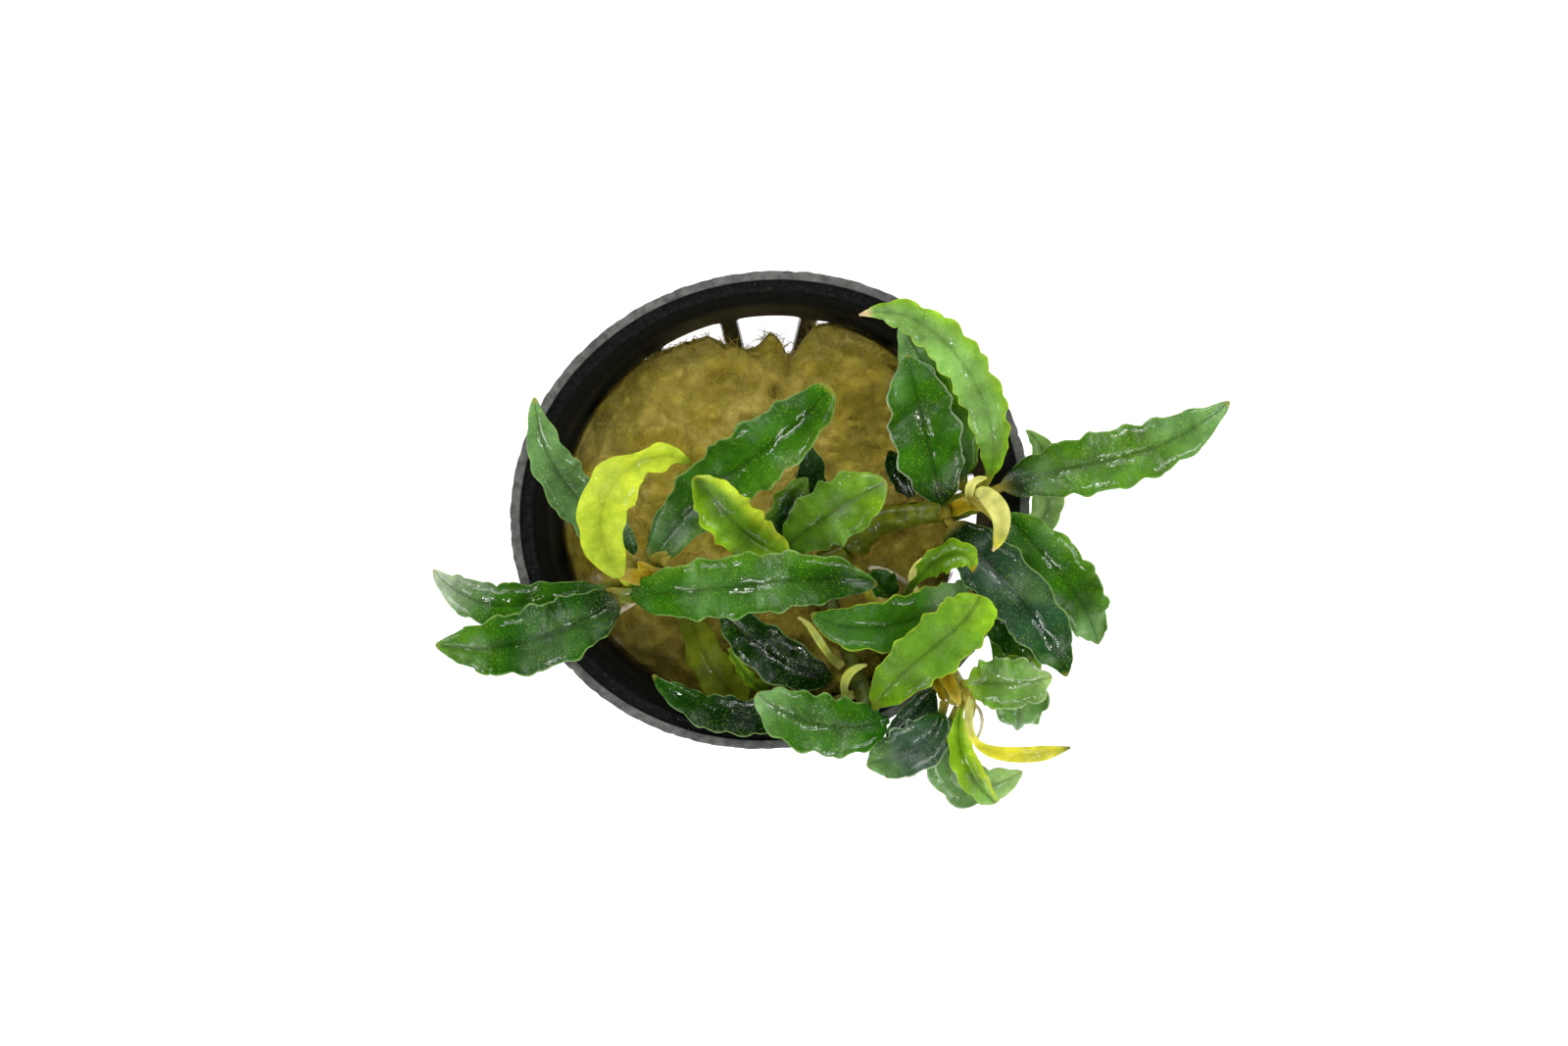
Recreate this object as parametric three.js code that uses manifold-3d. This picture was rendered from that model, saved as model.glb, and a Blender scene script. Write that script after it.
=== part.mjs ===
// A bucephalandra, a creeping aquarium plant, rooted in a rockwool plug in a black net pot.
// Millimetres, +Z up. The origin is the centre of the pot's underside, and the longest leaf
// of the right crown points along +X.

import * as THREE from "three";
import { mergeVertices } from "three/addons/utils/BufferGeometryUtils.js";
import Module from "manifold-3d";

const wasm = await Module();
wasm.setup();

// Clearance between neighbouring pieces
const GAP = 0.3;

// Net pot: round at the bottom, and squeezed to an oval at the rim by the plug
const POT_HEIGHT = 50;
const RIM_RADIUS = 27;
const RIM_SQUEEZE = 0.045;
const LONG_AXIS_DEGREES = 11;
const LIP_WIDTH = 1;
const LEDGE_WIDTH = 1.3;
const LEDGE_Z = 49.4;
const STEP_Z = 48.4;
const STEP_HEIGHT = 0.4;
const FLANGE_HEIGHT = 2;
const WALL = 1;
const WALL_SLOPE = 0.15;
const FLOOR = 2;
const POT_FACETS = 48;
const SLOT_COUNT = 16;
const FIRST_SLOT_DEGREES = 91.2;
const SLOT_BOTTOM = 6;
const SLOT_TOP = 35;
const SLOT_CORNER = 0.8;
const RIB_WIDTH = 1.95;
const DRAIN_COUNT = 8;
const DRAIN_WIDTH = 3;
const DRAIN_INNER = 6;
const DRAIN_OUTER = 14.5;

// Rockwool plug
const PLUG_TOP = 39.6;
const PLUG_FACETS = 28;
const PLUG_LUMP = 0.7;
const PLUG_PROFILE = [
  [0.9, FLOOR + GAP],
  [0.98, 7],
  [0.99, 16],
  [0.97, 24],
  [0.98, 31],
  [0.995, PLUG_TOP - 2.6],
  [0.96, PLUG_TOP - 0.8],
  [0.84, PLUG_TOP],
  [0.6, PLUG_TOP + 0.2],
  [0.38, PLUG_TOP],
  [0.17, PLUG_TOP + 0.2],
];
const PLUG_LUMPS_ABOVE = [34, 39];
// Where the plug stands back from the wall: the azimuth of each hollow, how far it reaches to
// either side, and its depth as a share of the radius. They fade in over the given heights.
const PLUG_HOLLOWS = [
  { middle: 4, reach: 60, depth: 0.12 },
  { middle: 102, reach: 30, depth: 0.08 },
  { middle: 86, reach: 12, depth: 0.14 },
];
const PLUG_HOLLOWS_ABOVE = [12, 34];

// Stems and roots
const STEM_SIDES = 8;
const STEM_STEPS = 10;
const ROOT_SIDES = 5;
const ROOT_STEPS = 6;
const ROOT_RADIUS = 0.35;
const CROWN_SWELLS = [0.6, 0.9];

// Leaf blades. The petiole ends at BLADE_BASE, a share of the leaf's length, BLADE_PEAK moves the
// widest place, and a lower BLADE_BLUNT makes both ends broader. Along the margin, scallops follow
// each other faster than the waves.
const LEAF_STEPS = 16;
const LEAF_THICKNESS = 0.5;
const PETIOLE_RADIUS = 0.5;
const TIP_RADIUS = 0.16;
const BLADE_BASE = 0.08;
const BLADE_PEAK = 0.9;
const BLADE_BLUNT = 0.5;
const SCALLOP = 0.07;
const SCALLOP_PACE = 1.7;
const SCALLOP_LAG = 2;
const WAVE_LAG = 1.3;
const WAVE_RISE = 1.5;
const TIP_THINNING = 0.4;
const LEVEL = [0, 0];

// Finishes
const FINISHES = {
  pot: { color: "#16181a", roughness: 0.45 },
  rockwool: { color: "#6f6236", roughness: 1 },
  rhizome: { color: "#7d7f31", roughness: 0.5 },
  stem: { color: "#b98a2c", roughness: 0.45 },
  dark: { color: "#1d3329", roughness: 0.35 },
  green: { color: "#3f5f35", roughness: 0.4 },
  lime: { color: "#9bab3d", roughness: 0.4 },
  olive: { color: "#6b6526", roughness: 0.45 },
  sheath: { color: "#d9d37a", roughness: 0.45 },
  root: { color: "#d8cfa8", roughness: 0.6 },
};

// Stems as tapering tubes: four points on the middle line, the radius at both ends, and how much
// the crown at the end adds to it
const STEMS = [
  {
    name: "rhizome_middle",
    finish: "rhizome",
    line: [[8.4, -4.6, 42], [4, -6.4, 42], [-0.6, -7.4, 42.4], [-5, -7.6, 43.1]],
    radii: [1.4, 1.2],
    crown: 0,
  },
  {
    name: "rhizome_left",
    finish: "stem",
    line: [[-5.5, -7.7, 43.3], [-9, -7.7, 44.3], [-12.6, -7.8, 46], [-15.4, -8, 48]],
    radii: [1.2, 0.9],
    crown: 0.4,
  },
  {
    name: "rhizome_right",
    finish: "rhizome",
    line: [[9.2, -3.9, 42.5], [13.3, -0.9, 44.9], [18.3, -0.2, 47.2], [23, 1.8, 51.8]],
    radii: [1.8, 0.8],
    crown: 0.5,
  },
  {
    name: "stem_centre",
    finish: "stem",
    line: [[3, -6.4, 43.9], [2.8, -6.1, 45.4], [2.6, -5.9, 47], [2.4, -5.8, 48.4]],
    radii: [0.8, 0.7],
    crown: 0.3,
  },
  {
    name: "stem_front_right",
    finish: "stem",
    line: [[9, -6.4, 42.2], [13, -10.8, 45.2], [17.3, -15.4, 50.6], [20.2, -20.2, 55.2]],
    radii: [1, 0.8],
    crown: 0.5,
  },
  {
    name: "stem_front_right_upper",
    finish: "stem",
    line: [[15.5, -11.6, 47.9], [17.2, -10.4, 49.4], [19, -9.4, 50.8], [20.4, -8.9, 51.8]],
    radii: [0.7, 0.65],
    crown: 0.4,
  },
  {
    name: "stem_front",
    finish: "stem",
    line: [[6, -7.8, 42.1], [7.5, -12.8, 43.8], [9, -17, 48.4], [10.8, -21.6, 53]],
    radii: [0.9, 0.7],
    crown: 0.3,
  },
];

// Leaves by crown. Each midrib has four points from base to tip, and halfWidth is the blade's widest.
// fold lifts both margins, in degrees, and ruffle is the height and number of the margin's waves.
// A roll lifts the left margin, in degrees at base and tip.
const LEAVES = [
  {
    name: "leaf_left_back",
    finish: "dark",
    midrib: [[-16.7, -8, 47.6], [-24.5, -10, 52], [-31, -10, 51.5], [-36.5, -6.5, 49]],
    halfWidth: 2.4,
    roll: [0, 10],
    fold: 5,
    ruffle: [0.7, 3],
  },
  {
    name: "leaf_left_front",
    finish: "green",
    midrib: [[-15.8, -9.3, 48.3], [-21.5, -12.5, 53.5], [-28, -14.5, 54.8], [-36, -14.5, 51.2]],
    halfWidth: 3.5,
    fold: 8,
    ruffle: [0.6, 3],
  },
  {
    name: "leaf_centre",
    finish: "dark",
    midrib: [[-14.5, -8.9, 49], [-6.5, -8.5, 54.5], [2.5, -7.5, 57], [11.5, -8, 54.5]],
    halfWidth: 3.3,
    base: 0.02,
    fold: 8,
    ruffle: [0.6, 3.5],
  },
  {
    name: "leaf_back_left",
    finish: "green",
    midrib: [[-15, -6.3, 47.6], [-17.7, -2, 49.7], [-22.4, 3.4, 52.5], [-25.2, 12, 53.5]],
    halfWidth: 2.6,
    fold: 5,
    ruffle: [0.5, 3],
  },
  {
    name: "leaf_young_left",
    finish: "lime",
    midrib: [[-15.6, -7.7, 48.8], [-17.9, -0.5, 57], [-14.3, 4.7, 60.5], [-8.5, 5, 56.5]],
    halfWidth: 2.8,
    peak: 0.8,
    blunt: 0.42,
    roll: [0, 40],
    fold: 15,
    ruffle: [0.5, 3],
  },
  {
    name: "leaf_back_right",
    finish: "green",
    midrib: [[-13.6, -6.7, 47.8], [-7, 1.5, 52.5], [-0.5, 6.5, 55.5], [6.5, 13, 56.5]],
    halfWidth: 3.6,
    blunt: 0.38,
    fold: 8,
    ruffle: [0.6, 3.5],
  },
  {
    name: "leaf_lime_centre",
    finish: "lime",
    midrib: [[3.4, -5.2, 49.4], [-1.9, -3, 53.8], [-5.2, 0.2, 57.3], [-8, 3.4, 59.5]],
    halfWidth: 2.8,
    blunt: 0.42,
    fold: 8,
    ruffle: [0.5, 3.5],
  },
  {
    name: "leaf_green_centre",
    finish: "green",
    midrib: [[1.1, -4.7, 47.3], [4.4, -1.9, 50.2], [8.2, 0.6, 52.8], [12.5, 3, 54.4]],
    halfWidth: 3.4,
    peak: 1.1,
    blunt: 0.42,
    fold: 5,
    ruffle: [0.5, 3],
  },
  {
    name: "leaf_dark_centre",
    finish: "dark",
    midrib: [[2.4, -4.9, 45.6], [1.4, -2.2, 47.4], [2.2, 0.6, 48.9], [4, 3.5, 49.2]],
    halfWidth: 2,
    fold: 8,
    ruffle: [0.4, 2.5],
  },
  {
    name: "leaf_low_centre",
    finish: "dark",
    midrib: [[4.6, -4.5, 43.2], [4.6, -1, 44.6], [4.6, 3, 45.6], [4, 7.5, 46]],
    halfWidth: 1.8,
    fold: 5,
    ruffle: [0.4, 2.5],
  },
  {
    name: "leaf_low_right",
    finish: "dark",
    midrib: [[15.5, 1.1, 46.4], [14.8, 2.9, 46.8], [13.9, 4.6, 46.9], [13, 6.5, 46.6]],
    halfWidth: 1.4,
    fold: 5,
    ruffle: [0.3, 2],
  },
  {
    name: "leaf_light_right",
    finish: "lime",
    midrib: [[23.1, 2.8, 52.3], [22.9, 10.3, 60], [17.6, 18.2, 62.5], [9.5, 20.5, 59.5]],
    halfWidth: 2.3,
    fold: 5,
    ruffle: [0.7, 4],
  },
  {
    name: "leaf_front_right",
    finish: "dark",
    midrib: [[19.1, -0.2, 50.1], [17.4, 5, 54.6], [15.9, 11, 57], [14.6, 16.4, 57.5]],
    halfWidth: 3.7,
    blunt: 0.45,
    fold: 5,
    ruffle: [0.6, 3],
  },
  {
    name: "leaf_back_of_right",
    finish: "green",
    midrib: [[20.9, 2.7, 50.9], [19.8, 8, 53], [17.2, 14, 54], [14, 20, 54.5]],
    halfWidth: 3,
    fold: 5,
    ruffle: [0.5, 3],
  },
  {
    name: "leaf_right",
    finish: "dark",
    midrib: [[24.2, 2.1, 52.3], [32.5, 4.5, 56], [40.5, 6.5, 57], [49, 11.5, 55.5]],
    halfWidth: 3.2,
    fold: 6,
    ruffle: [0.6, 4],
  },
  {
    name: "leaf_hooked_right",
    finish: "lime",
    midrib: [[23.4, 0, 51], [28.6, -2, 52.2], [30, 3.4, 52.6], [27.5, 8.5, 53]],
    halfWidth: 1.6,
    fold: 5,
    ruffle: [0.4, 3],
  },
  {
    name: "leaf_outer_right",
    finish: "green",
    midrib: [[24, 0.8, 52.6], [29.1, -4.6, 55.6], [33, -9.5, 54.5], [35.5, -14.5, 50]],
    halfWidth: 3.1,
    fold: 5,
    ruffle: [0.6, 3],
  },
  {
    name: "leaf_glossy_dark",
    finish: "dark",
    midrib: [[19.6, -1.5, 49.8], [23.4, -6, 55.4], [28, -11.3, 58], [31.6, -17.7, 56.3]],
    halfWidth: 3.3,
    base: 0.02,
    blunt: 0.42,
    fold: 6,
    ruffle: [0.5, 3],
  },
  {
    name: "leaf_under_right",
    finish: "dark",
    midrib: [[21.5, -9.2, 51.8], [24.4, -12, 53.4], [26.8, -14.2, 54], [29, -17, 53.2]],
    halfWidth: 2,
    fold: 5,
    ruffle: [0.4, 2.5],
  },
  {
    name: "leaf_long_light",
    finish: "lime",
    midrib: [[20.4, -8.2, 52.8], [17, -11, 56.6], [10.5, -12.5, 58.2], [4.5, -11, 58.2]],
    halfWidth: 2.8,
    fold: 6,
    ruffle: [0.5, 3],
  },
  {
    name: "leaf_curled",
    finish: "lime",
    midrib: [[14.8, -9.9, 48.9], [16.1, -7, 56], [19.3, -4.7, 60.3], [21.5, -6.5, 58.8]],
    halfWidth: 1.5,
    fold: 10,
    ruffle: [0.3, 2.5],
  },
  {
    name: "leaf_low_front",
    finish: "dark",
    midrib: [[13.3, -9.6, 46.2], [12.8, -8.6, 47.6], [12, -7.7, 48.4], [11, -6.5, 48.7]],
    halfWidth: 1.6,
    fold: 5,
    ruffle: [0.3, 2],
  },
  {
    name: "leaf_lime_front",
    finish: "lime",
    midrib: [[11.4, -20.8, 54.4], [15, -16.5, 59.3], [19.5, -12.5, 61.9], [22, -9, 61.3]],
    halfWidth: 3.1,
    base: 0,
    peak: 1,
    blunt: 0.4,
    fold: 6,
    ruffle: [0.6, 3],
  },
  {
    name: "leaf_toothed_right",
    finish: "green",
    midrib: [[20.9, -18.6, 55.7], [23.2, -18.4, 57.7], [26.3, -18.4, 57.8], [30, -17.8, 56]],
    halfWidth: 2.7,
    blunt: 0.42,
    fold: 5,
    ruffle: [0.7, 4],
  },
  {
    name: "leaf_hanging",
    finish: "green",
    midrib: [[21.6, -10, 50.8], [25.8, -16, 51.6], [27, -20.5, 50.2], [27, -24, 46.2]],
    halfWidth: 3,
    peak: 1.3,
    fold: 5,
    ruffle: [0.5, 2.5],
  },
  {
    name: "leaf_small_right",
    finish: "lime",
    midrib: [[21.4, -18.6, 54], [24.2, -17.2, 54.8], [26.8, -16.8, 55], [29, -17, 54.2]],
    halfWidth: 1.1,
    fold: 5,
    ruffle: [0.2, 2],
  },
  {
    name: "leaf_folded",
    finish: "lime",
    midrib: [[20.4, -21, 55.6], [20.1, -24.3, 56.8], [21.2, -27.8, 55], [24.3, -31.6, 50.6]],
    halfWidth: 1.8,
    peak: 1.3,
    blunt: 0.42,
    fold: 35,
    ruffle: [0.4, 3],
  },
  {
    name: "leaf_under_left",
    finish: "green",
    midrib: [[18.6, -21, 54], [17, -24.3, 54.4], [14, -26.2, 53.2], [10.5, -27.5, 50.8]],
    halfWidth: 2.7,
    blunt: 0.42,
    fold: 5,
    ruffle: [0.5, 2.5],
  },
  {
    name: "leaf_under_front",
    finish: "green",
    midrib: [[19.9, -21.7, 53.5], [19, -27, 52.3], [21.8, -29.8, 50.6], [27.4, -28.4, 48.4]],
    halfWidth: 2.6,
    blunt: 0.42,
    fold: 5,
    ruffle: [0.5, 2.5],
  },
  {
    name: "leaf_between",
    finish: "dark",
    midrib: [[17.8, -18.8, 52.2], [16.4, -21.4, 52.2], [14.5, -23.5, 51.8], [12.5, -25.5, 51.5]],
    halfWidth: 1.7,
    fold: 5,
    ruffle: [0.3, 2],
  },
  {
    name: "leaf_front_left",
    finish: "green",
    midrib: [[12.2, -22.6, 53.6], [7.8, -23.2, 55.1], [2.8, -22.2, 55.2], [-1.3, -19.6, 53.6]],
    halfWidth: 3.2,
    base: 0,
    blunt: 0.42,
    fold: 5,
    ruffle: [0.5, 3],
  },
  {
    name: "leaf_at_wall",
    finish: "green",
    midrib: [[8.8, -20, 49.9], [0.5, -22.2, 50.4], [-6.5, -21.8, 50.6], [-12.7, -17.9, 49.5]],
    halfWidth: 2,
    roll: [15, 15],
    fold: 5,
    ruffle: [0.4, 2.5],
  },
  {
    name: "leaf_old_olive",
    finish: "olive",
    midrib: [[-9.2, -9.4, 43.6], [-7.4, -15.2, 45], [-4.4, -20, 44.9], [-1.8, -21.5, 44.6]],
    halfWidth: 2.1,
    fold: 5,
    ruffle: [0.4, 2.5],
  },
  {
    name: "leaf_dark_front",
    finish: "dark",
    midrib: [[8, -18.3, 48.9], [2.6, -17, 50.4], [-1.6, -14.2, 51.4], [-5.4, -11.2, 50.2]],
    halfWidth: 2.7,
    fold: 8,
    ruffle: [0.4, 2.5],
  },
  {
    name: "leaf_edge_on",
    finish: "lime",
    midrib: [[0.6, -20.2, 39.5], [-0.8, -19.8, 44.2], [-2.8, -17.6, 47.4], [-4.5, -15, 49.2]],
    halfWidth: 0.7,
    fold: 10,
    ruffle: [0.1, 2],
  },
];

// Rolled young leaves and sheaths: narrow and thick blades
const SHEATHS = [
  {
    name: "sheath_right",
    midrib: [[22.4, 1.8, 53], [23.6, 1, 57.4], [24.5, -1.4, 58.4], [23.6, -4.4, 58]],
    halfWidth: 1.1,
    thickness: 0.9,
  },
  {
    name: "young_leaf_front_right",
    midrib: [[21.3, -20.6, 56.5], [22, -24.7, 59], [26, -26, 57.8], [32, -25.4, 55]],
    halfWidth: 0.9,
    thickness: 0.8,
    peak: 1.9,
  },
  {
    name: "sheath_front_right",
    midrib: [[16.1, -9.3, 49.8], [15.4, -7, 51.4], [16.8, -5.4, 52], [19, -4, 51.4]],
    halfWidth: 0.5,
    thickness: 0.7,
  },
  {
    name: "young_leaf_front",
    midrib: [[7.5, -16.7, 48.7], [5.8, -14.8, 52], [4.6, -12.9, 53.6], [3, -11.5, 54]],
    halfWidth: 0.45,
    thickness: 0.7,
  },
  {
    name: "sheath_front",
    midrib: [[8.5, -20.2, 51.9], [8, -18.6, 53], [8.9, -17.2, 54], [10.4, -16.6, 54.6]],
    halfWidth: 0.5,
    thickness: 0.7,
  },
];

// Bare roots: thin tubes that end in the rockwool's top or hang beside the crown
const ROOTS = [
  {
    name: "root_left",
    line: [[-14, -9.4, 46.2], [-16.4, -11, 45.4], [-18, -12, 43], [-18.6, -12.2, 39]],
  },
  {
    name: "root_right",
    line: [[11.2, -6.4, 43], [13.4, -7, 43.6], [15, -8, 42.4], [15.4, -8.4, 40.2]],
  },
  {
    name: "root_front_right",
    line: [[21.5, -20.6, 54.1], [22.5, -21.6, 54.6], [22.7, -23, 54.2], [22.3, -24.4, 53.2]],
  },
];

const wallRadius = (z) => RIM_RADIUS - LIP_WIDTH - LEDGE_WIDTH - WALL_SLOPE * (LEDGE_Z - z);
const smoothStep = (low, high, x) => THREE.MathUtils.smoothstep(x, low, high);
const { degToRad, lerp } = THREE.MathUtils;

// The cubic that passes four points at 0, 1/3, 2/3 and 1
class FourPointCurve extends THREE.Curve {
  constructor(points) {
    super();
    this.points = points.map((point) => new THREE.Vector3(...point));
  }

  getPoint(t, target = new THREE.Vector3()) {
    const weights = [
      -4.5 * (t - 1 / 3) * (t - 2 / 3) * (t - 1),
      13.5 * t * (t - 2 / 3) * (t - 1),
      -13.5 * t * (t - 1 / 3) * (t - 1),
      4.5 * t * (t - 1 / 3) * (t - 2 / 3),
    ];
    target.set(0, 0, 0);
    this.points.forEach((point, i) => target.addScaledVector(point, weights[i]));
    return target;
  }
}

// Moves every vertex of a round geometry out along the long axis and in across it, more towards the rim
function squeezed(geometry) {
  const turn = degToRad(LONG_AXIS_DEGREES);
  geometry.rotateZ(-turn);
  const position = geometry.getAttribute("position");
  for (let i = 0; i < position.count; i += 1) {
    const squeeze = (RIM_SQUEEZE * position.getZ(i)) / POT_HEIGHT;
    position.setX(i, position.getX(i) * (1 + squeeze));
    position.setY(i, position.getY(i) * (1 - squeeze));
  }
  return geometry.rotateZ(turn);
}

// The directions at a point of a curve: along it, to its left, and up from it, turned by a roll
function frameAt(curve, t, rollDegrees) {
  const step = 0.004;
  const before = curve.getPoint(Math.max(0, t - step));
  const after = curve.getPoint(Math.min(1, t + step));
  const along = after.sub(before).normalize();
  const left = new THREE.Vector3(0, 0, 1).cross(along).normalize();
  left.applyAxisAngle(along, degToRad(rollDegrees));
  return { along, left, up: along.clone().cross(left) };
}

// A prism's wall holds six vertices for each of its quads, in the order a b d, b c d. This splits
// the quads on the section's lower half along the other diagonal, under that of the upper half,
// so that the two faces of a thin bent blade keep apart.
function turnLowerDiagonals(geometry) {
  const position = geometry.getAttribute("position");
  const [, wall] = geometry.groups;
  for (let i = wall.start; i < wall.start + wall.count; i += 6) {
    const [a, b, d, , c] = [0, 1, 2, 3, 4].map((k) =>
      new THREE.Vector3().fromBufferAttribute(position, i + k),
    );
    if (a.y + b.y > 0) continue;
    [a, b, c, a, c, d].forEach((corner, k) => position.setXYZ(i + k, ...corner));
  }
}

// A prism of the section, one unit long, whose vertices are then placed along a curve
function bentPrism(section, steps, place) {
  const geometry = new THREE.ExtrudeGeometry(section, { depth: 1, steps, bevelEnabled: false });
  turnLowerDiagonals(geometry);
  const position = geometry.getAttribute("position");
  for (let i = 0; i < position.count; i += 1) {
    const point = place(position.getX(i), position.getY(i), position.getZ(i));
    position.setXYZ(i, point.x, point.y, point.z);
  }
  geometry.computeVertexNormals();
  return geometry;
}

function polygonSection(sides) {
  const corners = [];
  for (let i = 0; i < sides; i += 1) {
    const angle = (2 * Math.PI * i) / sides;
    corners.push(new THREE.Vector2(Math.cos(angle), Math.sin(angle)));
  }
  return new THREE.Shape(corners);
}

// A tube that tapers from the first radius to the second and swells into a crown at its end
function taperedTube(line, radii, crown, sides, steps) {
  const curve = new FourPointCurve(line);
  return bentPrism(polygonSection(sides), steps, (x, y, t) => {
    const { left, up } = frameAt(curve, t, 0);
    const radius = lerp(radii[0], radii[1], t) + crown * smoothStep(...CROWN_SWELLS, t);
    return curve.getPoint(t).addScaledVector(left, x * radius).addScaledVector(up, y * radius);
  });
}

// Half the blade's width at t: a round petiole, then a long oval that ends in a small tip
function halfWidthAt(leaf, t) {
  const base = leaf.base ?? BLADE_BASE;
  const peak = leaf.peak ?? BLADE_PEAK;
  const along = THREE.MathUtils.clamp((t - base) / (1 - base), 0, 1);
  const blunt = leaf.blunt ?? BLADE_BLUNT;
  const oval = leaf.halfWidth * Math.sin(Math.PI * along ** peak) ** blunt;
  return Math.max(lerp(PETIOLE_RADIUS, TIP_RADIUS, t), oval);
}

// A point of the blade: v runs from the right margin, -1, to the left one, 1,
// and side is 1 on the upper face, -1 on the lower one, at the midrib
function leafPoint(leaf, curve, v, side, t) {
  const [ruffle, waves] = leaf.ruffle;
  const turn = 2 * Math.PI * waves * t;
  const { left, up } = frameAt(curve, t, lerp(...(leaf.roll ?? LEVEL), t));
  const scallop = 1 + SCALLOP * Math.sin(SCALLOP_PACE * turn + SCALLOP_LAG * v) * Math.abs(v);
  const width = halfWidthAt(leaf, t) * scallop;
  const fold = degToRad(leaf.fold);
  const rise = Math.abs(v) * width * Math.sin(fold);
  const blade = smoothStep(0.05, 0.3, t) * (1 - smoothStep(0.85, 1, t));
  const wave = ruffle * blade * Math.abs(v) ** WAVE_RISE * Math.sin(turn + WAVE_LAG * v);
  const blank = leaf.thickness ?? LEAF_THICKNESS;
  const thickness = lerp(2 * PETIOLE_RADIUS, blank, smoothStep(0, 0.15, t));
  const shell = (side / 2) * thickness * (1 - TIP_THINNING * smoothStep(0.8, 1, t));
  return curve
    .getPoint(t)
    .addScaledVector(left, v * width * Math.cos(fold))
    .addScaledVector(up, rise + wave + shell);
}

function leafGeometry(leaf) {
  const curve = new FourPointCurve(leaf.midrib);
  return bentPrism(polygonSection(4), LEAF_STEPS, (x, y, t) =>
    leafPoint(leaf, curve, Math.round(x), Math.round(y), t),
  );
}

function sheathGeometry(sheath) {
  return leafGeometry({ fold: 10, ruffle: [0, 1], base: 0, ...sheath });
}

// Booleans
function solidOf(geometry) {
  const bare = geometry.clone();
  bare.deleteAttribute("normal");
  bare.deleteAttribute("uv");
  const merged = mergeVertices(bare);
  return new wasm.Manifold(
    new wasm.Mesh({
      numProp: 3,
      vertProperties: merged.getAttribute("position").array,
      triVerts: new Uint32Array(merged.index.array),
    }),
  );
}

function geometryOf(solid) {
  const { vertProperties, triVerts } = solid.getMesh();
  const geometry = new THREE.BufferGeometry();
  geometry.setAttribute("position", new THREE.BufferAttribute(vertProperties, 3));
  geometry.setIndex(new THREE.BufferAttribute(triVerts, 1));
  const flat = geometry.toNonIndexed();
  flat.computeVertexNormals();
  return flat;
}

// Pot
function potBlank() {
  const flangeBottom = POT_HEIGHT - FLANGE_HEIGHT;
  const ledgeInner = RIM_RADIUS - LIP_WIDTH - LEDGE_WIDTH;
  const stepBottom = STEP_Z - STEP_HEIGHT;
  const profile = [
    [0, 0],
    [wallRadius(0) + WALL, 0],
    [wallRadius(flangeBottom) + WALL, flangeBottom],
    [RIM_RADIUS, flangeBottom],
    [RIM_RADIUS, POT_HEIGHT],
    [RIM_RADIUS - LIP_WIDTH, POT_HEIGHT],
    [RIM_RADIUS - LIP_WIDTH, LEDGE_Z],
    [ledgeInner, LEDGE_Z],
    [ledgeInner, STEP_Z],
    [wallRadius(stepBottom), stepBottom],
    [wallRadius(FLOOR), FLOOR],
    [0, FLOOR],
  ].map(([radius, z]) => new THREE.Vector2(radius, z));
  return new THREE.LatheGeometry(profile, POT_FACETS).rotateX(Math.PI / 2);
}

// One slot's cutter: a tapering window with cut corners, across the wall at the given azimuth
function slotCutter(low, high, degrees) {
  const halfAt = (z) => {
    const pitch = (2 * Math.PI * (wallRadius(z) + WALL / 2)) / SLOT_COUNT;
    return (pitch - RIB_WIDTH) / 2;
  };
  const right = [
    [halfAt(low) - SLOT_CORNER, low],
    [halfAt(low), low + SLOT_CORNER],
    [halfAt(high), high - SLOT_CORNER],
    [halfAt(high) - SLOT_CORNER, high],
  ];
  const left = right.map(([x, z]) => [-x, z]).reverse();
  const window = new THREE.Shape([...right, ...left].map(([x, z]) => new THREE.Vector2(x, z)));
  const inside = wallRadius(0) - 2 * WALL;
  const geometry = new THREE.ExtrudeGeometry(window, {
    depth: RIM_RADIUS - inside,
    bevelEnabled: false,
  });
  const azimuth = degToRad(degrees);
  const outward = new THREE.Vector3(Math.cos(azimuth), Math.sin(azimuth), 0);
  const upward = new THREE.Vector3(0, 0, 1);
  const across = upward.clone().cross(outward);
  const place = new THREE.Matrix4().makeBasis(across, upward, outward);
  place.setPosition(outward.clone().multiplyScalar(inside));
  return geometry.applyMatrix4(place);
}

function drainCutter(degrees) {
  return new THREE.BoxGeometry(DRAIN_OUTER - DRAIN_INNER, DRAIN_WIDTH, 4 * FLOOR)
    .translate((DRAIN_OUTER + DRAIN_INNER) / 2, 0, FLOOR / 2)
    .rotateZ(degToRad(degrees));
}

function potGeometry() {
  let pot = solidOf(potBlank());
  for (let i = 0; i < SLOT_COUNT; i += 1) {
    const degrees = FIRST_SLOT_DEGREES + (360 * i) / SLOT_COUNT;
    pot = pot.subtract(solidOf(slotCutter(SLOT_BOTTOM, SLOT_TOP, degrees)));
  }
  for (let i = 0; i < DRAIN_COUNT; i += 1) {
    pot = pot.subtract(solidOf(drainCutter((360 * i) / DRAIN_COUNT)));
  }
  return squeezed(geometryOf(pot));
}

// Rockwool
// A smooth bump of height 1 around an azimuth, in degrees
function bump(azimuth, middle, reach) {
  const away = Math.abs(((azimuth - middle + 540) % 360) - 180);
  return 1 - smoothStep(0, reach, away);
}

// How far the plug reaches towards the wall, as a share of its full radius
function plugReach(azimuth, z) {
  let depth = 0;
  for (const hollow of PLUG_HOLLOWS) {
    depth += hollow.depth * bump(azimuth, hollow.middle, hollow.reach);
  }
  return 1 - depth * smoothStep(...PLUG_HOLLOWS_ABOVE, z);
}

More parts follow.
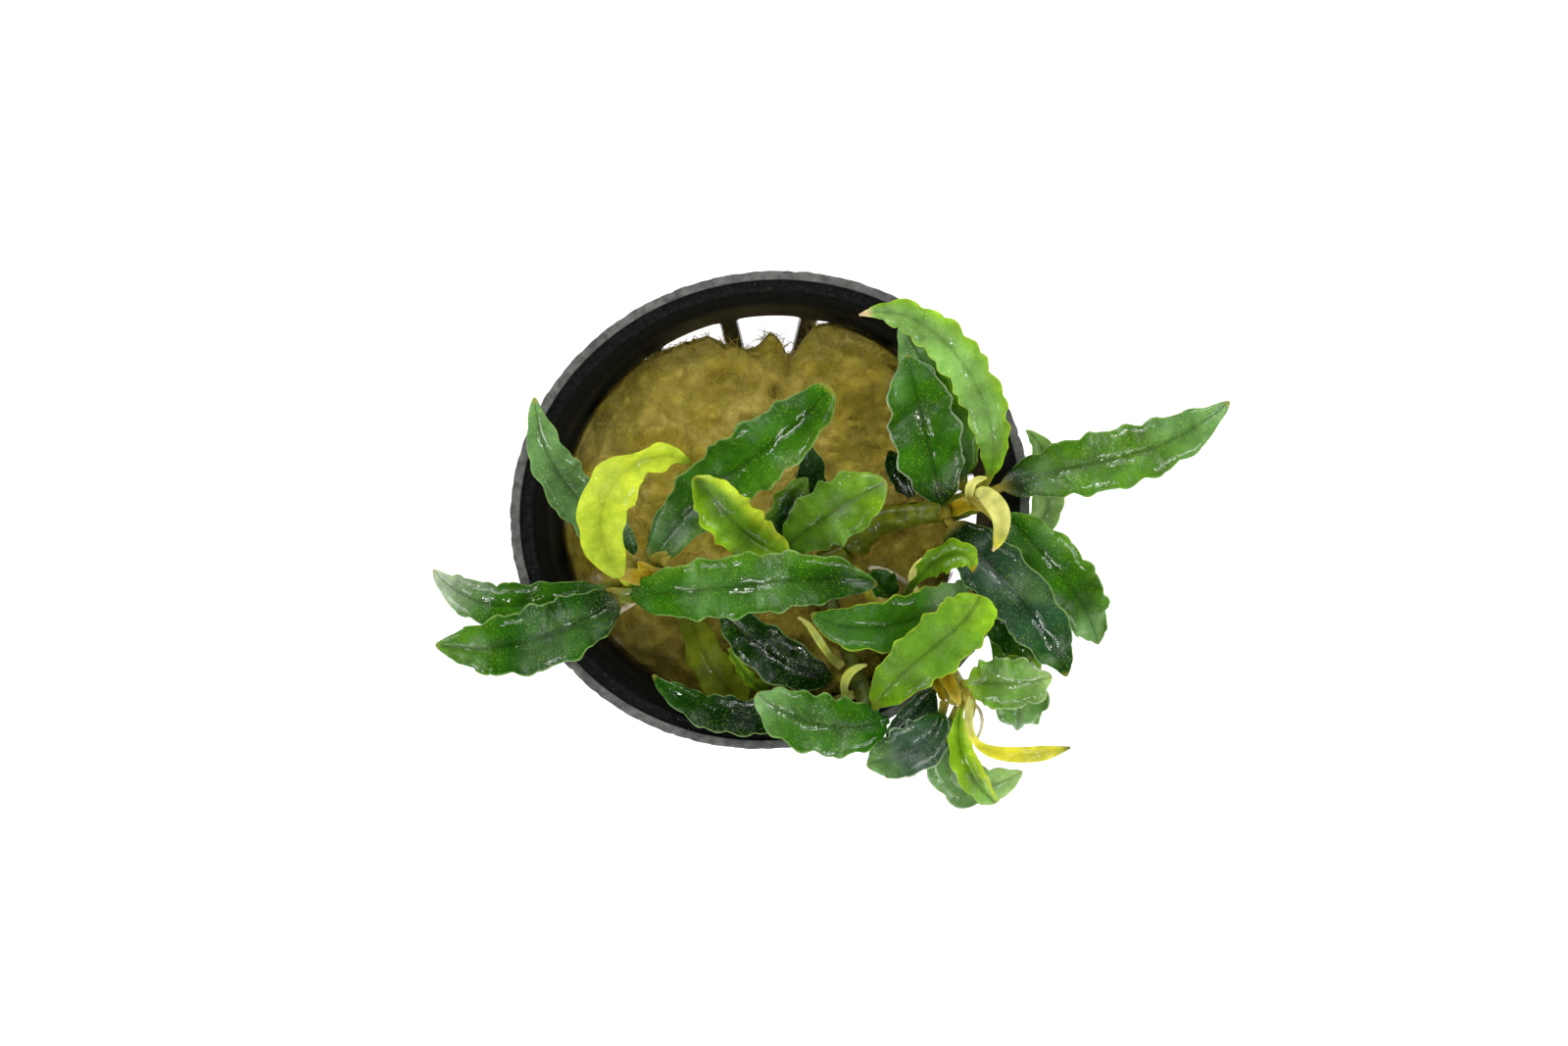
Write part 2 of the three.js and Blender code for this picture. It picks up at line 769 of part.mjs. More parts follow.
function rockwoolGeometry() {
  const profile = [new THREE.Vector2(0, FLOOR + GAP)];
  for (const [share, z] of PLUG_PROFILE) {
    profile.push(new THREE.Vector2(share * (wallRadius(z) - GAP), z));
  }
  profile.push(new THREE.Vector2(0, PLUG_TOP));
  const geometry = new THREE.LatheGeometry(profile, PLUG_FACETS).rotateX(Math.PI / 2);
  const position = geometry.getAttribute("position");
  for (let i = 0; i < position.count; i += 1) {
    const x = position.getX(i);
    const y = position.getY(i);
    const z = position.getZ(i);
    const reach = plugReach(THREE.MathUtils.radToDeg(Math.atan2(y, x)), z);
    const lump = PLUG_LUMP * Math.sin(0.5 * x + 1) * Math.sin(0.46 * y + 0.6);
    position.setXYZ(i, x * reach, y * reach, z + lump * smoothStep(...PLUG_LUMPS_ABOVE, z));
  }
  return squeezed(geometry);
}

// Assembly
function piece(name, finish, geometry) {
  const mesh = new THREE.Mesh(
    geometry,
    new THREE.MeshStandardMaterial({ metalness: 0, ...FINISHES[finish] }),
  );
  mesh.name = name;
  return mesh;
}

const plant = new THREE.Group();
plant.add(piece("pot", "pot", potGeometry()));
plant.add(piece("rockwool", "rockwool", rockwoolGeometry()));
for (const { name, finish, line, radii, crown } of STEMS) {
  plant.add(piece(name, finish, taperedTube(line, radii, crown, STEM_SIDES, STEM_STEPS)));
}
for (const leaf of LEAVES) plant.add(piece(leaf.name, leaf.finish, leafGeometry(leaf)));
for (const sheath of SHEATHS) plant.add(piece(sheath.name, "sheath", sheathGeometry(sheath)));
for (const { name, line } of ROOTS) {
  const radii = [ROOT_RADIUS, ROOT_RADIUS];
  plant.add(piece(name, "root", taperedTube(line, radii, 0, ROOT_SIDES, ROOT_STEPS)));
}

export default plant;
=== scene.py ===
import itertools
import math

import bmesh
import bpy
import numpy as np
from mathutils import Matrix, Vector


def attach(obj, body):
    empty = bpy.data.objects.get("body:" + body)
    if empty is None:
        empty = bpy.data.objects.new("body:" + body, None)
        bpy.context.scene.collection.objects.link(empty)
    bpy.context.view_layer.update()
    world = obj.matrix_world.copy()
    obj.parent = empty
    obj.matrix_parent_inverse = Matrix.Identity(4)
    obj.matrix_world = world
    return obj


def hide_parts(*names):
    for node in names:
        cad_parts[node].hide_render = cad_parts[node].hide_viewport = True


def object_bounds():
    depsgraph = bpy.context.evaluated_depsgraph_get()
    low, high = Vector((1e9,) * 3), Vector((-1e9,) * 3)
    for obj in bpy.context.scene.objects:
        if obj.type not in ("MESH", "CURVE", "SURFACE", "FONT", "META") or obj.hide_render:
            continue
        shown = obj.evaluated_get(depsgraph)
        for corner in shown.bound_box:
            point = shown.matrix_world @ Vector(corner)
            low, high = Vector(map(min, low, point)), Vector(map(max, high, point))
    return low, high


# Looks of a bucephalandra in a net pot. The tables are in millimetres, as the solids are, and
# MM turns them into metres where a mesh is made.

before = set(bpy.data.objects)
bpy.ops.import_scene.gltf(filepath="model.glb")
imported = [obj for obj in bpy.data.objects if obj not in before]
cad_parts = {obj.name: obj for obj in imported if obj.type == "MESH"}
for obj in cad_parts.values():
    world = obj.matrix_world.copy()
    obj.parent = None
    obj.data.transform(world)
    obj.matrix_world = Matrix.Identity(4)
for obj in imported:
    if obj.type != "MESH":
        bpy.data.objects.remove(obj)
CAD_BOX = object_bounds()

MM = 0.001
BODY = "root"
LENGTH_STEPS = 60

# Where the random draws of each group of pieces start
SEEDS = {"lip": 5, "plug": 11, "fibres": 21, "leaves": 100, "sheaths": 200, "stems": 300,
         "roots": 400, "scales": 500}

# Camera: straight above the pot
CAMERA_MM = (1.52, -1.42, 430.0)
LENS_MM = 80.63
SENSOR_MM = 36.0
CLIP_M = (0.01, 10)

# Studio: low softboxes all round, a ring of lamps above them, and sparks nearer the zenith. The
# sky fades from bright at the horizon to dark above.
SOFTBOXES = {"count": 4, "radius": 290.0, "height": 215.0, "size": (260.0, 150.0), "power": 0.4}
LAMPS = {"count": 6, "radius": 260.0, "height": 400.0, "size": (60.0, 60.0), "power": 0.17}
SPARKS = {"count": 3, "radius": 95.0, "height": 425.0, "size": (12.0, 12.0), "power": 0.05}
LIGHTS_TURN = 0.3
AIM_MM = (0, 0, 50)
SKY_LOW = 0.1
SKY_HIGH = 0.45
SKY_BRIGHT = 1.0
SKY_DARK = 0.06
WHITE = (1, 1, 1, 1)
FLOOR_M = 4
FLOOR_COLOUR = (0.85, 0.85, 0.85, 1)

# Pot
POT_HEIGHT = 50.0
RIM_RADIUS = 27.0
RIM_SQUEEZE = 0.045
LONG_AXIS_DEGREES = 11.0
LIP_WIDTH = 1.0
LEDGE_WIDTH = 1.3
LEDGE_Z = 49.4
STEP_Z = 48.4
STEP_HEIGHT = 0.4
FLANGE_HEIGHT = 2.0
WALL = 1.0
WALL_SLOPE = 0.15
FLOOR = 2.0
SLOT_COUNT = 16
FIRST_SLOT_DEGREES = 91.2
SLOT_BOTTOM = 6.0
SLOT_TOP = 35.0
SLOT_CORNER = 1.1
SLOT_CORNER_STEPS = 5
RIB_WIDTH = 1.95
DRAIN_COUNT = 8
DRAIN_WIDTH = 3.0
DRAIN_INNER = 6.0
DRAIN_OUTER = 14.5
POT_COLUMNS = 480
CORNER_RADIUS = 0.18
CORNER_STEPS = 3
SHARP_DEGREES = 35
# The lip's outer face, where the moulding's edge wanders and is nicked and how worn it is, and the
# lip's top, painted pale in ragged streaks as a highlight
FLASH_WIDTH = 0.35
FLASH_ABOVE = 0.3
FLASH_WAVES = ((0.05, 37), (0.04, 90))
NICK_PACE = 53
NICK_RARITY = 0.75
NICK_DEPTH = 0.5
OUTER_WEAR = 0.15
OUTER_ZONE = (RIM_RADIUS - 0.5, RIM_RADIUS - 0.1)
LIP_HIGHLIGHT_ZONE = (POT_HEIGHT - 0.4, POT_HEIGHT - 0.1)

# Rockwool
GAP = 0.3
PLUG_TOP = 39.6
PLUG_COLUMNS = 300
PLUG_FLOOR_ROWS = 8
PLUG_SIDE_ROWS = 44
PLUG_TOP_ROWS = 106
PLUG_LUMP = 0.7
PLUG_PROFILE = [
    (0.90, FLOOR + GAP), (0.98, 7.0), (0.99, 16.0), (0.97, 24.0), (0.98, 31.0),
    (0.995, PLUG_TOP - 2.6), (0.96, PLUG_TOP - 0.8), (0.84, PLUG_TOP), (0.60, PLUG_TOP + 0.2),
    (0.38, PLUG_TOP), (0.17, PLUG_TOP + 0.2),
]
# The side ends at this point of the profile, counted from the middle of the underside
PLUG_SIDE_END = 6
PLUG_TOP_ZONE = (PLUG_TOP - 2.4, PLUG_TOP - 0.6)
PLUG_RIM_ZONE = (0.75, 0.97)
PLUG_LUMPS_ABOVE = (34.0, 39.0)
# How far the wool spreads towards the wall at the top, and where
PLUG_SNUG = 0.26
PLUG_SNUG_ABOVE = (28, 34)
# Its noise on the top, at the torn edge and on the side: heights and sizes of the lumps
PLUG_ROUGH = ((0.6, 3.1), (0.5, 1.4), (0.25, 0.6))
PLUG_RAGGED = ((0.5, 1.4), (0.35, 0.6))
PLUG_PITS = ((0.06, 1.4),)
PLUG_PITS_ABOVE = (6, 12)
PLUG_HOLLOW = (4.0, 60.0, 0.12)
PLUG_HOLLOWS_ABOVE = (12.0, 34.0)
# The torn back edge: azimuth, and the share of the full radius that the wool reaches there
TORN_EDGE = [
    (60, 1.0), (73, 1.0), (77.7, 0.965), (81.2, 0.86), (83.7, 0.76), (86, 0.83), (88.5, 0.89),
    (91, 0.915), (93.5, 0.87), (95.5, 0.845), (98, 0.84), (102, 0.862), (104.5, 0.88),
    (109, 0.955), (116, 0.962), (124, 0.975), (132, 1.0),
]
# The middle and reach in degrees of the back, where the edge is ragged
PLUG_BACK = (103.0, 30.0)
# A pit in the top, and cream bits on it: x, y and radius
HOLE = (0.5, 13.6, 1.0)
HOLE_DEPTH = 1.3
CREAM_BITS = [(-23.2, -1.0, 0.9), (-19.4, -7.7, 0.7), (-17.7, -15.0, 1.0)]

# Fibres start on this many of the plug's rows before its top, spread over so many rows, and spare
# the last few, in its middle
FIBRE_ROWS_BEFORE = 6
FIBRE_ROWS = 110
FIBRE_ROWS_SPARED = 4
FIBRE_COUNT = 5200
FIBRE_LENGTHS = (1.2, 4.2)
FIBRE_RADII = (0.025, 0.055)
FIBRE_ARCHES = (0.05, 0.45)
FIBRE_BEND = 0.5
FIBRE_TILT = 0.12
FIBRE_SINK = 0.03
FIBRE_SIDES = 3
# Shares of its radius that a fibre has along it
FIBRE_TAPER = (0.35, 1, 1, 0.35)

# Leaves. Zones are shares of the length.
LEAF_THICKNESS = 0.36
PETIOLE_RADIUS = 0.5
TIP_RADIUS = 0.16
LEAF_START = -0.03
LEAF_END = 1.002
BLADE_BASE = 0.08
BLADE_PEAK = 0.9
BLADE_BLUNT = 0.5
NO_WAIST = (0.5, 1.0, 0.0)
TIP_POINT = 0.3
TIP_ZONE = (0.84, 1)
LEAF_STEP = 0.2
LEAF_ROWS_MIN = 24
LEAF_RING = 48
# Large waves of the margin, and scallops that follow each other faster
WAVE_ZONES = ((0.05, 0.3), (0.85, 1))
WAVE_LAG = 1.3
WAVE_RISE = 1.5
SCALLOP = 0.07
SCALLOP_PACE = 1.7
SCALLOP_LAG = 2.0
# Fine crimps of the margin, and the lobes of its outline that go with them
CRIMP = 0.3
CRIMP_LENGTH = 2.5
CRIMP_WANDER = (1.3, 1.6)
OTHER_SIDE = 50
FRILL = 0.55
# The midrib's groove, and the quilting between the side veins
GROOVE_DEPTH = 0.16
GROOVE_WIDTH = 0.32
QUILT_DEPTH = 0.02
QUILT_PITCH = 1.5
QUILT_SLANT = 2.2
# Painted: how strong the mottling and the vein are, the vein's and the darker middle's width, and
# where the shades follow each other and the sides, margin, tip and stalk change colour
MOTTLE = 0.35
BLOTCHES = ((1, 2.6), (0.5, 0.9))
VEIN = 0.7
MIDDLE_ZONE = (0.05, 0.4)
END_ZONE = (0.6, 1)
SIDE_ZONE = (0.3, 0.95)
VEIN_WIDTH = 0.2
MIDDLE_WIDTH = 1.1
MARGIN_ZONE = (0.93, 0.995)
STRAW_ZONE = (0.975, 0.995)
COLOUR_TIP_ZONE = (0.93, 0.985)
STALK_ZONE = (0.0, 0.09)
ALONG_STRIDE = 31.0

SHEATH_LOOK = {"finish": "sheath", "fold": 10, "ruffle": (0, 1), "base": 0, "crimp": 0.0,
               "groove": 0.1, "vein": 0.15, "stalk": "butter"}
SCALE_LOOK = {"fold": 25, "ruffle": (0, 1), "base": -0.05, "blunt": 0.4, "crimp": 0.05,
              "groove": 0.03, "vein": 0.1, "thickness": 0.3, "stalk": "amber"}

# Stems and roots: points round a tube, its step, and how strong its rings are
STEM_MESH = {"ring": 36, "step": 0.14, "rings": 0.018}
ROOT_MESH = {"ring": 16, "step": 0.15, "rings": 0.02}
TUBE_ROWS_MIN = 16
TUBE_OVERRUN = 0.5
CROWN_ZONE = (0.6, 0.9)
RING_PITCH = 1.25
TUBE_LUMP = 0.07
ROOT_RADIUS = 0.35
ROOT_TAPER = 0.8

# Colours as seen in daylight, sRGB
# sheen and haze are painted reflections: pale grey-greens that stand for light reflected off a leaf
PALETTE = {
    "ink": "#0a2806", "deep": "#1a4a08", "forest": "#32640e", "green": "#4c7a1a",
    "moss": "#58800c", "grass": "#628e26", "lime": "#83ae1e", "acid": "#c2d238",
    "sheen": "#6d9556", "sage": "#587c48", "slate": "#2c4b33", "pistachio": "#84b058",
    "pale": "#a0c274", "haze": "#a9bb9c", "mist": "#cfdcbc", "celery": "#b2b850",
    "butter": "#e4df80", "lemon": "#e0d83a", "blush": "#e8c49a", "straw": "#b3a040",
    "amber": "#a88e18", "olive": "#555c0e", "old": "#6a7414",
}

# Colours of the materials, linear
LEAF_PATCH = (0.62, 0.7, 0.6)
LEAF_FLECK_TINT = (2.6, 2.4, 1.4)
LEAF_FLECK = (0.27, 0.42, 0.012)
STEM_SCAR = (0.06, 0.035, 0.008)
STEM_FLECK = (0.09, 0.05, 0.012)
ROOT_PALE = (0.76, 0.7, 0.5)
ROOT_BROWN = (0.55, 0.47, 0.26)
WOOL_TOP = ((0.34, 0.275, 0.065), (0.3, 0.235, 0.03), (0.2, 0.165, 0.016), (0.09, 0.07, 0.005))
WOOL_SIDE = ((0.06, 0.046, 0.01), (0.15, 0.12, 0.035), (0.19, 0.15, 0.04))
WOOL_CREAM = (0.72, 0.62, 0.36)
PLASTIC_DARK = (0.006, 0.0065, 0.007)
PLASTIC_GREY = (0.015, 0.016, 0.016)
PLASTIC_WORN_AND_HIGHLIT = (0.16, 0.162, 0.153)
DUST = (0.32, 0.33, 0.31)

# Each finish has the colours of a blade from base to tip and of its margin, its material slot, and
# how strong its painted sheen is: pale patches that stand for reflected light
FINISHES = {
    "dark": {"shades": "ink deep forest", "edge": "pale", "slot": "leaf_dark", "bloom": 0.4},
    "green": {"shades": "deep forest green", "edge": "pale", "slot": "leaf_green", "bloom": 0.4},
    "lime": {"shades": "green lime lime", "edge": "acid", "slot": "leaf_lime", "bloom": 0.12},
    "olive": {"shades": "olive old old", "edge": "moss", "slot": "leaf_olive", "bloom": 0.1},
    "sheath": {"shades": "butter butter butter", "edge": "butter", "slot": "sheath", "bloom": 0},
    "scale": {"shades": "amber amber straw", "edge": "butter", "slot": "stem", "bloom": 0},
    "rhizome_scale": {"shades": "olive amber straw", "edge": "butter", "slot": "rhizome",
                      "bloom": 0},
}


# Rows of the tables. Each has a curve of four points. A stem has its radii at both ends, and how
# much the crown at its end adds. A leaf has its half width, how far its halves fold up in degrees,
# and the height and number of its waves. The rest is what is seen of it: where it is widest, how
# blunt its ends and how fine its crimps are, its shades from base to tip, and a margin of another
# colour to the left or right of its midrib.
def stem(name, finish, radii, crown, line, **looks):
    return {"name": name, "finish": finish, "radii": radii, "crown": crown, "line": line, **looks}


def root(name, line, slim=1):
    radius = ROOT_RADIUS * slim
    return stem(name, "root", (radius, ROOT_TAPER * radius), 0, line)


def leaf(name, finish, half_width, fold, ruffle, midrib, **looks):
    return {"name": f"leaf_{name}", "finish": finish, "halfWidth": half_width, "fold": fold,
            "ruffle": ruffle, "midrib": midrib, **looks}


def sheath(name, half_width, thickness, midrib, **looks):
    return {**SHEATH_LOOK, "name": name, "halfWidth": half_width, "thickness": thickness,
            "midrib": midrib, **looks}


def scale(node, finish, half_width, midrib, **looks):
    return {**SCALE_LOOK, "node": node, "finish": finish, "halfWidth": half_width,
            "midrib": midrib, **looks}


STEMS = [
    stem("rhizome_middle", "rhizome", (1.4, 1.2), 0,
         [[8.4, -4.6, 42], [4, -6.4, 42], [-0.6, -7.4, 42.4], [-5, -7.6, 43.1]]),
    stem("rhizome_left", "stem", (1.2, 0.9), 0.4,
         [[-5.5, -7.7, 43.3], [-9, -7.7, 44.3], [-12.6, -7.8, 46], [-15.4, -8, 48]]),
    stem("rhizome_right", "rhizome", (1.8, 0.8), 0.5,
         [[9.2, -3.9, 42.5], [13.3, -0.9, 44.9], [18.3, -0.2, 47.2], [23, 1.8, 51.8]]),
    stem("stem_centre", "stem", (0.8, 0.7), 0.3,
         [[3, -6.4, 43.9], [2.8, -6.1, 45.4], [2.6, -5.9, 47], [2.4, -5.8, 48.4]]),
    stem("stem_front_right", "stem", (1, 0.8), 0.5,
         [[9, -6.4, 42.2], [13, -10.8, 45.2], [17.3, -15.4, 50.6], [20.2, -20.2, 55.2]]),
    stem("stem_front_right_upper", "stem", (0.7, 0.65), 0.4,
         [[15.5, -11.6, 47.9], [17.2, -10.4, 49.4], [19, -9.4, 50.8], [20.4, -8.9, 51.8]]),
    stem("stem_front", "stem", (0.9, 0.7), 0.3,
         [[6, -7.8, 42.1], [7.5, -12.8, 43.8], [9, -17, 48.4], [10.8, -21.6, 53]], skin="shaded"),
]

LEAVES = [
    leaf("left_back", "dark", 2.4, 5, (0.7, 3),
         [[-16.7, -8, 47.6], [-24.5, -10, 52], [-31, -10, 51.5], [-36.5, -6.5, 49]], roll=(0, 10),
         crimp=0.2, shades="deep forest haze"),
    leaf("left_front", "green", 3.5, 8, (0.6, 3),
         [[-15.8, -9.3, 48.3], [-21.5, -12.5, 53.5], [-28, -14.5, 54.8], [-36, -14.5, 51.2]],
         base=0.04, shades="ink deep green", bloom=0.2),
    leaf("centre", "dark", 3.3, 8, (0.6, 3.5),
         [[-14.5, -8.9, 49], [-6.5, -8.5, 54.5], [2.5, -7.5, 57], [11.5, -8, 54.5]], base=-0.025,
         shades="forest forest deep", left="green", stalk="forest"),
    leaf("back_left", "green", 2.6, 5, (0.5, 3),
         [[-15, -6.3, 47.6], [-17.7, -2, 49.7], [-22.4, 3.4, 52.5], [-25.2, 12, 53.5]],
         shades="deep sage sheen"),
    leaf("young_left", "lime", 2.8, 15, (0.5, 3),
         [[-15.6, -7.7, 48.8], [-17.9, -0.5, 57], [-14.3, 4.7, 60.5], [-8.5, 5, 56.5]],
         roll=(0, 40), base=0.03, peak=0.8, blunt=0.55, waist=(0.73, 0.07, 0.35), crimp=0.08,
         shades="acid acid acid", stalk="acid", tip="lime", vein=0.25, mottle=0.1),
    leaf("back_right", "green", 3.6, 8, (0.6, 3.5),
         [[-13.6, -6.7, 47.8], [-7, 1.5, 52.5], [-0.5, 6.5, 55.5], [6.5, 13, 56.5]], base=0.03,
         peak=1.1, blunt=0.38, point=0, shades="deep forest forest", right="green"),
    leaf("lime_centre", "lime", 2.8, 8, (0.5, 3.5),
         [[3.4, -5.2, 49.4], [-1.9, -3, 53.8], [-5.2, 0.2, 57.3], [-8, 3.4, 59.5]], blunt=0.42,
         crimp=0.25, shades="lime moss moss", left="lime", right="acid"),
    leaf("green_centre", "green", 3.4, 5, (0.5, 3),
         [[1.1, -4.7, 47.3], [4.4, -1.9, 50.2], [8.2, 0.6, 52.8], [12.5, 3, 54.4]], peak=1.1,
         blunt=0.42, shades="green grass lime"),
    leaf("dark_centre", "dark", 2, 8, (0.4, 2.5),
         [[2.4, -4.9, 45.6], [1.4, -2.2, 47.4], [2.2, 0.6, 48.9], [4, 3.5, 49.2]],
         shades="ink deep moss", left="moss"),
    leaf("low_centre", "dark", 1.8, 5, (0.4, 2.5),
         [[4.6, -4.5, 43.2], [4.6, -1, 44.6], [4.6, 3, 45.6], [4, 7.5, 46]], shades="ink ink deep",
         bloom=0.05),
    leaf("low_right", "dark", 1.4, 5, (0.3, 2),
         [[15.5, 1.1, 46.4], [14.8, 2.9, 46.8], [13.9, 4.6, 46.9], [13, 6.5, 46.6]],
         shades="ink ink ink", bloom=0.05),
    leaf("light_right", "lime", 2.3, 5, (0.62, 4),
         [[23.1, 2.8, 52.3], [22.9, 10.3, 60], [17.6, 18.2, 62.5], [9.5, 20.5, 59.5]], base=0.05,
         blunt=0.62, crimp=0.28, frill=1.5, shades="moss pistachio pistachio", right="lime",
         tip="blush", vein=0.5),
    leaf("front_right", "dark", 3.7, 5, (0.6, 3),
         [[19.1, -0.2, 50.1], [17.4, 5, 54.6], [15.9, 11, 57], [14.6, 16.4, 57.5]], blunt=0.55,
         shades="ink forest forest", edge="mist"),
    leaf("back_of_right", "green", 3, 5, (0.5, 3),
         [[20.9, 2.7, 50.9], [19.8, 8, 53], [17.2, 14, 54], [14, 20, 54.5]],
         shades="deep forest sheen", right="moss"),
    leaf("right", "dark", 3.2, 6, (0.6, 4),
         [[24.2, 2.1, 52.3], [32.5, 4.5, 56], [40.5, 6.5, 57], [49, 11.5, 55.5]], base=0.03,
         crimp=0.22, shades="ink green sheen"),
    leaf("hooked_right", "lime", 1.6, 5, (0.4, 3),
         [[23.4, 0, 51], [28.6, -2, 52.2], [30, 3.4, 52.6], [27.5, 8.5, 53]],
         shades="pistachio pale pistachio"),
    leaf("outer_right", "green", 3.1, 5, (0.6, 3),
         [[24, 0.8, 52.6], [29.1, -4.6, 55.6], [33, -9.5, 54.5], [35.5, -14.5, 50]],
         shades="deep forest sheen", left="green"),
    leaf("glossy_dark", "dark", 3.3, 6, (0.5, 3),
         [[19.6, -1.5, 49.8], [23.4, -6, 55.4], [28, -11.3, 58], [31.6, -17.7, 56.3]], base=0.02,
         blunt=0.42, point=0.5, crimp=0.22, shades="ink slate deep"),
    leaf("under_right", "dark", 2, 5, (0.4, 2.5),
         [[21.5, -9.2, 51.8], [24.4, -12, 53.4], [26.8, -14.2, 54], [29, -17, 53.2]],
         shades="ink deep moss"),
    leaf("long_light", "lime", 2.8, 6, (0.5, 3),
         [[20.4, -8.2, 52.8], [17, -11, 56.6], [10.5, -12.5, 58.2], [4.5, -11, 58.2]], base=0,
         shades="sheen forest forest", stalk="sheen"),
    leaf("curled", "lime", 1.5, 10, (0.3, 2.5),
         [[14.8, -9.9, 48.9], [16.1, -7, 56], [19.3, -4.7, 60.3], [21.5, -6.5, 58.8]], base=0.3,
         shades="ink moss lime", stalk="ink", tip="amber"),
    leaf("low_front", "dark", 1.6, 5, (0.3, 2),
         [[13.3, -9.6, 46.2], [12.8, -8.6, 47.6], [12, -7.7, 48.4], [11, -6.5, 48.7]],
         shades="ink deep deep"),
    leaf("lime_front", "lime", 3.1, 6, (0.6, 3),
         [[11.4, -20.8, 54.4], [15, -16.5, 59.3], [19.5, -12.5, 61.9], [22, -9, 61.3]], base=0,
         peak=1.25, blunt=0.32, point=0, crimp=0.25, crimp_length=1.9, shades="moss grass lime",
         stalk="old"),
    leaf("toothed_right", "green", 2.7, 5, (0.7, 4),
         [[20.9, -18.6, 55.7], [23.2, -18.4, 57.7], [26.3, -18.4, 57.8], [30, -17.8, 56]],
         blunt=0.42, crimp_length=1.5, frill=1.6, shades="lime grass pale", edge="mist"),
    leaf("hanging", "green", 3, 5, (0.5, 2.5),
         [[21.6, -10, 50.8], [25.8, -16, 51.6], [27, -20.5, 50.2], [27, -24, 46.2]], peak=1.3,
         blunt=0.7, point=0.5, shades="deep green sheen", edge="mist"),
    leaf("small_right", "lime", 1.1, 5, (0.2, 2),
         [[21.4, -18.6, 54], [24.2, -17.2, 54.8], [26.8, -16.8, 55], [29, -17, 54.2]],
         shades="moss grass lime"),
    leaf("folded", "lime", 1.8, 35, (0.4, 3),
         [[20.4, -21, 55.6], [20.1, -24.3, 56.8], [21.2, -27.8, 55], [24.3, -31.6, 50.6]], peak=1.3,
         blunt=0.42, crimp=0.15, shades="lime lime pistachio", left="acid"),
    leaf("under_left", "green", 2.7, 5, (0.5, 2.5),
         [[18.6, -21, 54], [17, -24.3, 54.4], [14, -26.2, 53.2], [10.5, -27.5, 50.8]], blunt=0.42,
         shades="deep slate sheen", edge="mist"),
    leaf("under_front", "green", 2.45, 5, (0.5, 2.5),
         [[19.9, -21.7, 53.5], [19, -27, 52.3], [21.8, -29.8, 50.6], [27.4, -28.4, 48.4]],
         blunt=0.42, shades="green sheen pale", edge="mist"),
    leaf("between", "dark", 1.7, 5, (0.3, 2),
         [[17.8, -18.8, 52.2], [16.4, -21.4, 52.2], [14.5, -23.5, 51.8], [12.5, -25.5, 51.5]],
         shades="ink slate sheen"),
    leaf("front_left", "green", 3.2, 5, (0.5, 3),
         [[12.2, -22.6, 53.6], [7.8, -23.2, 55.1], [2.8, -22.2, 55.2], [-1.3, -19.6, 53.6]], base=0,
         blunt=0.42, shades="deep forest sheen", stalk="deep", bloom=0.2),
    # Painted shade: this leaf lies under the others, and its dark shades stand for their shadow
    leaf("at_wall", "green", 2, 5, (0.4, 2.5),
         [[8.8, -20, 49.9], [0.5, -22.2, 50.4], [-6.5, -21.8, 50.6], [-12.7, -17.9, 49.5]],
         roll=(15, 15), shades="ink ink deep", bloom=0.3),
    leaf("old_olive", "olive", 2.1, 5, (0.4, 2.5),
         [[-9.2, -9.4, 43.6], [-7.4, -15.2, 45], [-4.4, -20, 44.9], [-1.8, -21.5, 44.6]], vein=0.5),
    leaf("dark_front", "dark", 2.7, 8, (0.4, 2.5),
         [[8, -18.3, 48.9], [2.6, -17, 50.4], [-1.6, -14.2, 51.4], [-5.4, -11.2, 50.2]], crimp=0.15,
         shades="ink ink deep", bloom=0),
    leaf("edge_on", "lime", 0.7, 10, (0.1, 2),
         [[0.6, -20.2, 39.5], [-0.8, -19.8, 44.2], [-2.8, -17.6, 47.4], [-4.5, -15, 49.2]],
         shades="moss lime lime"),
]

SHEATHS = [
    sheath("sheath_right", 1.1, 0.9,
           [[22.4, 1.8, 53], [23.6, 1, 57.4], [24.5, -1.4, 58.4], [23.6, -4.4, 58]],
           shades="butter butter lemon", tip="blush"),
    sheath("young_leaf_front_right", 0.9, 0.8,
           [[21.3, -20.6, 56.5], [22, -24.7, 59], [26, -26, 57.8], [32, -25.4, 55]], peak=2.4,
           shades="butter lemon lemon", tip="olive"),
    sheath("sheath_front_right", 0.5, 0.7,
           [[16.1, -9.3, 49.8], [15.4, -7, 51.4], [16.8, -5.4, 52], [19, -4, 51.4]]),
    sheath("young_leaf_front", 0.45, 0.7,
           [[7.5, -16.7, 48.7], [5.8, -14.8, 52], [4.6, -12.9, 53.6], [3, -11.5, 54]],
           shades="celery celery butter"),
    sheath("sheath_front", 0.5, 0.7,
           [[8.5, -20.2, 51.9], [8, -18.6, 53], [8.9, -17.2, 54], [10.4, -16.6, 54.6]],
           shades="celery celery butter"),
]

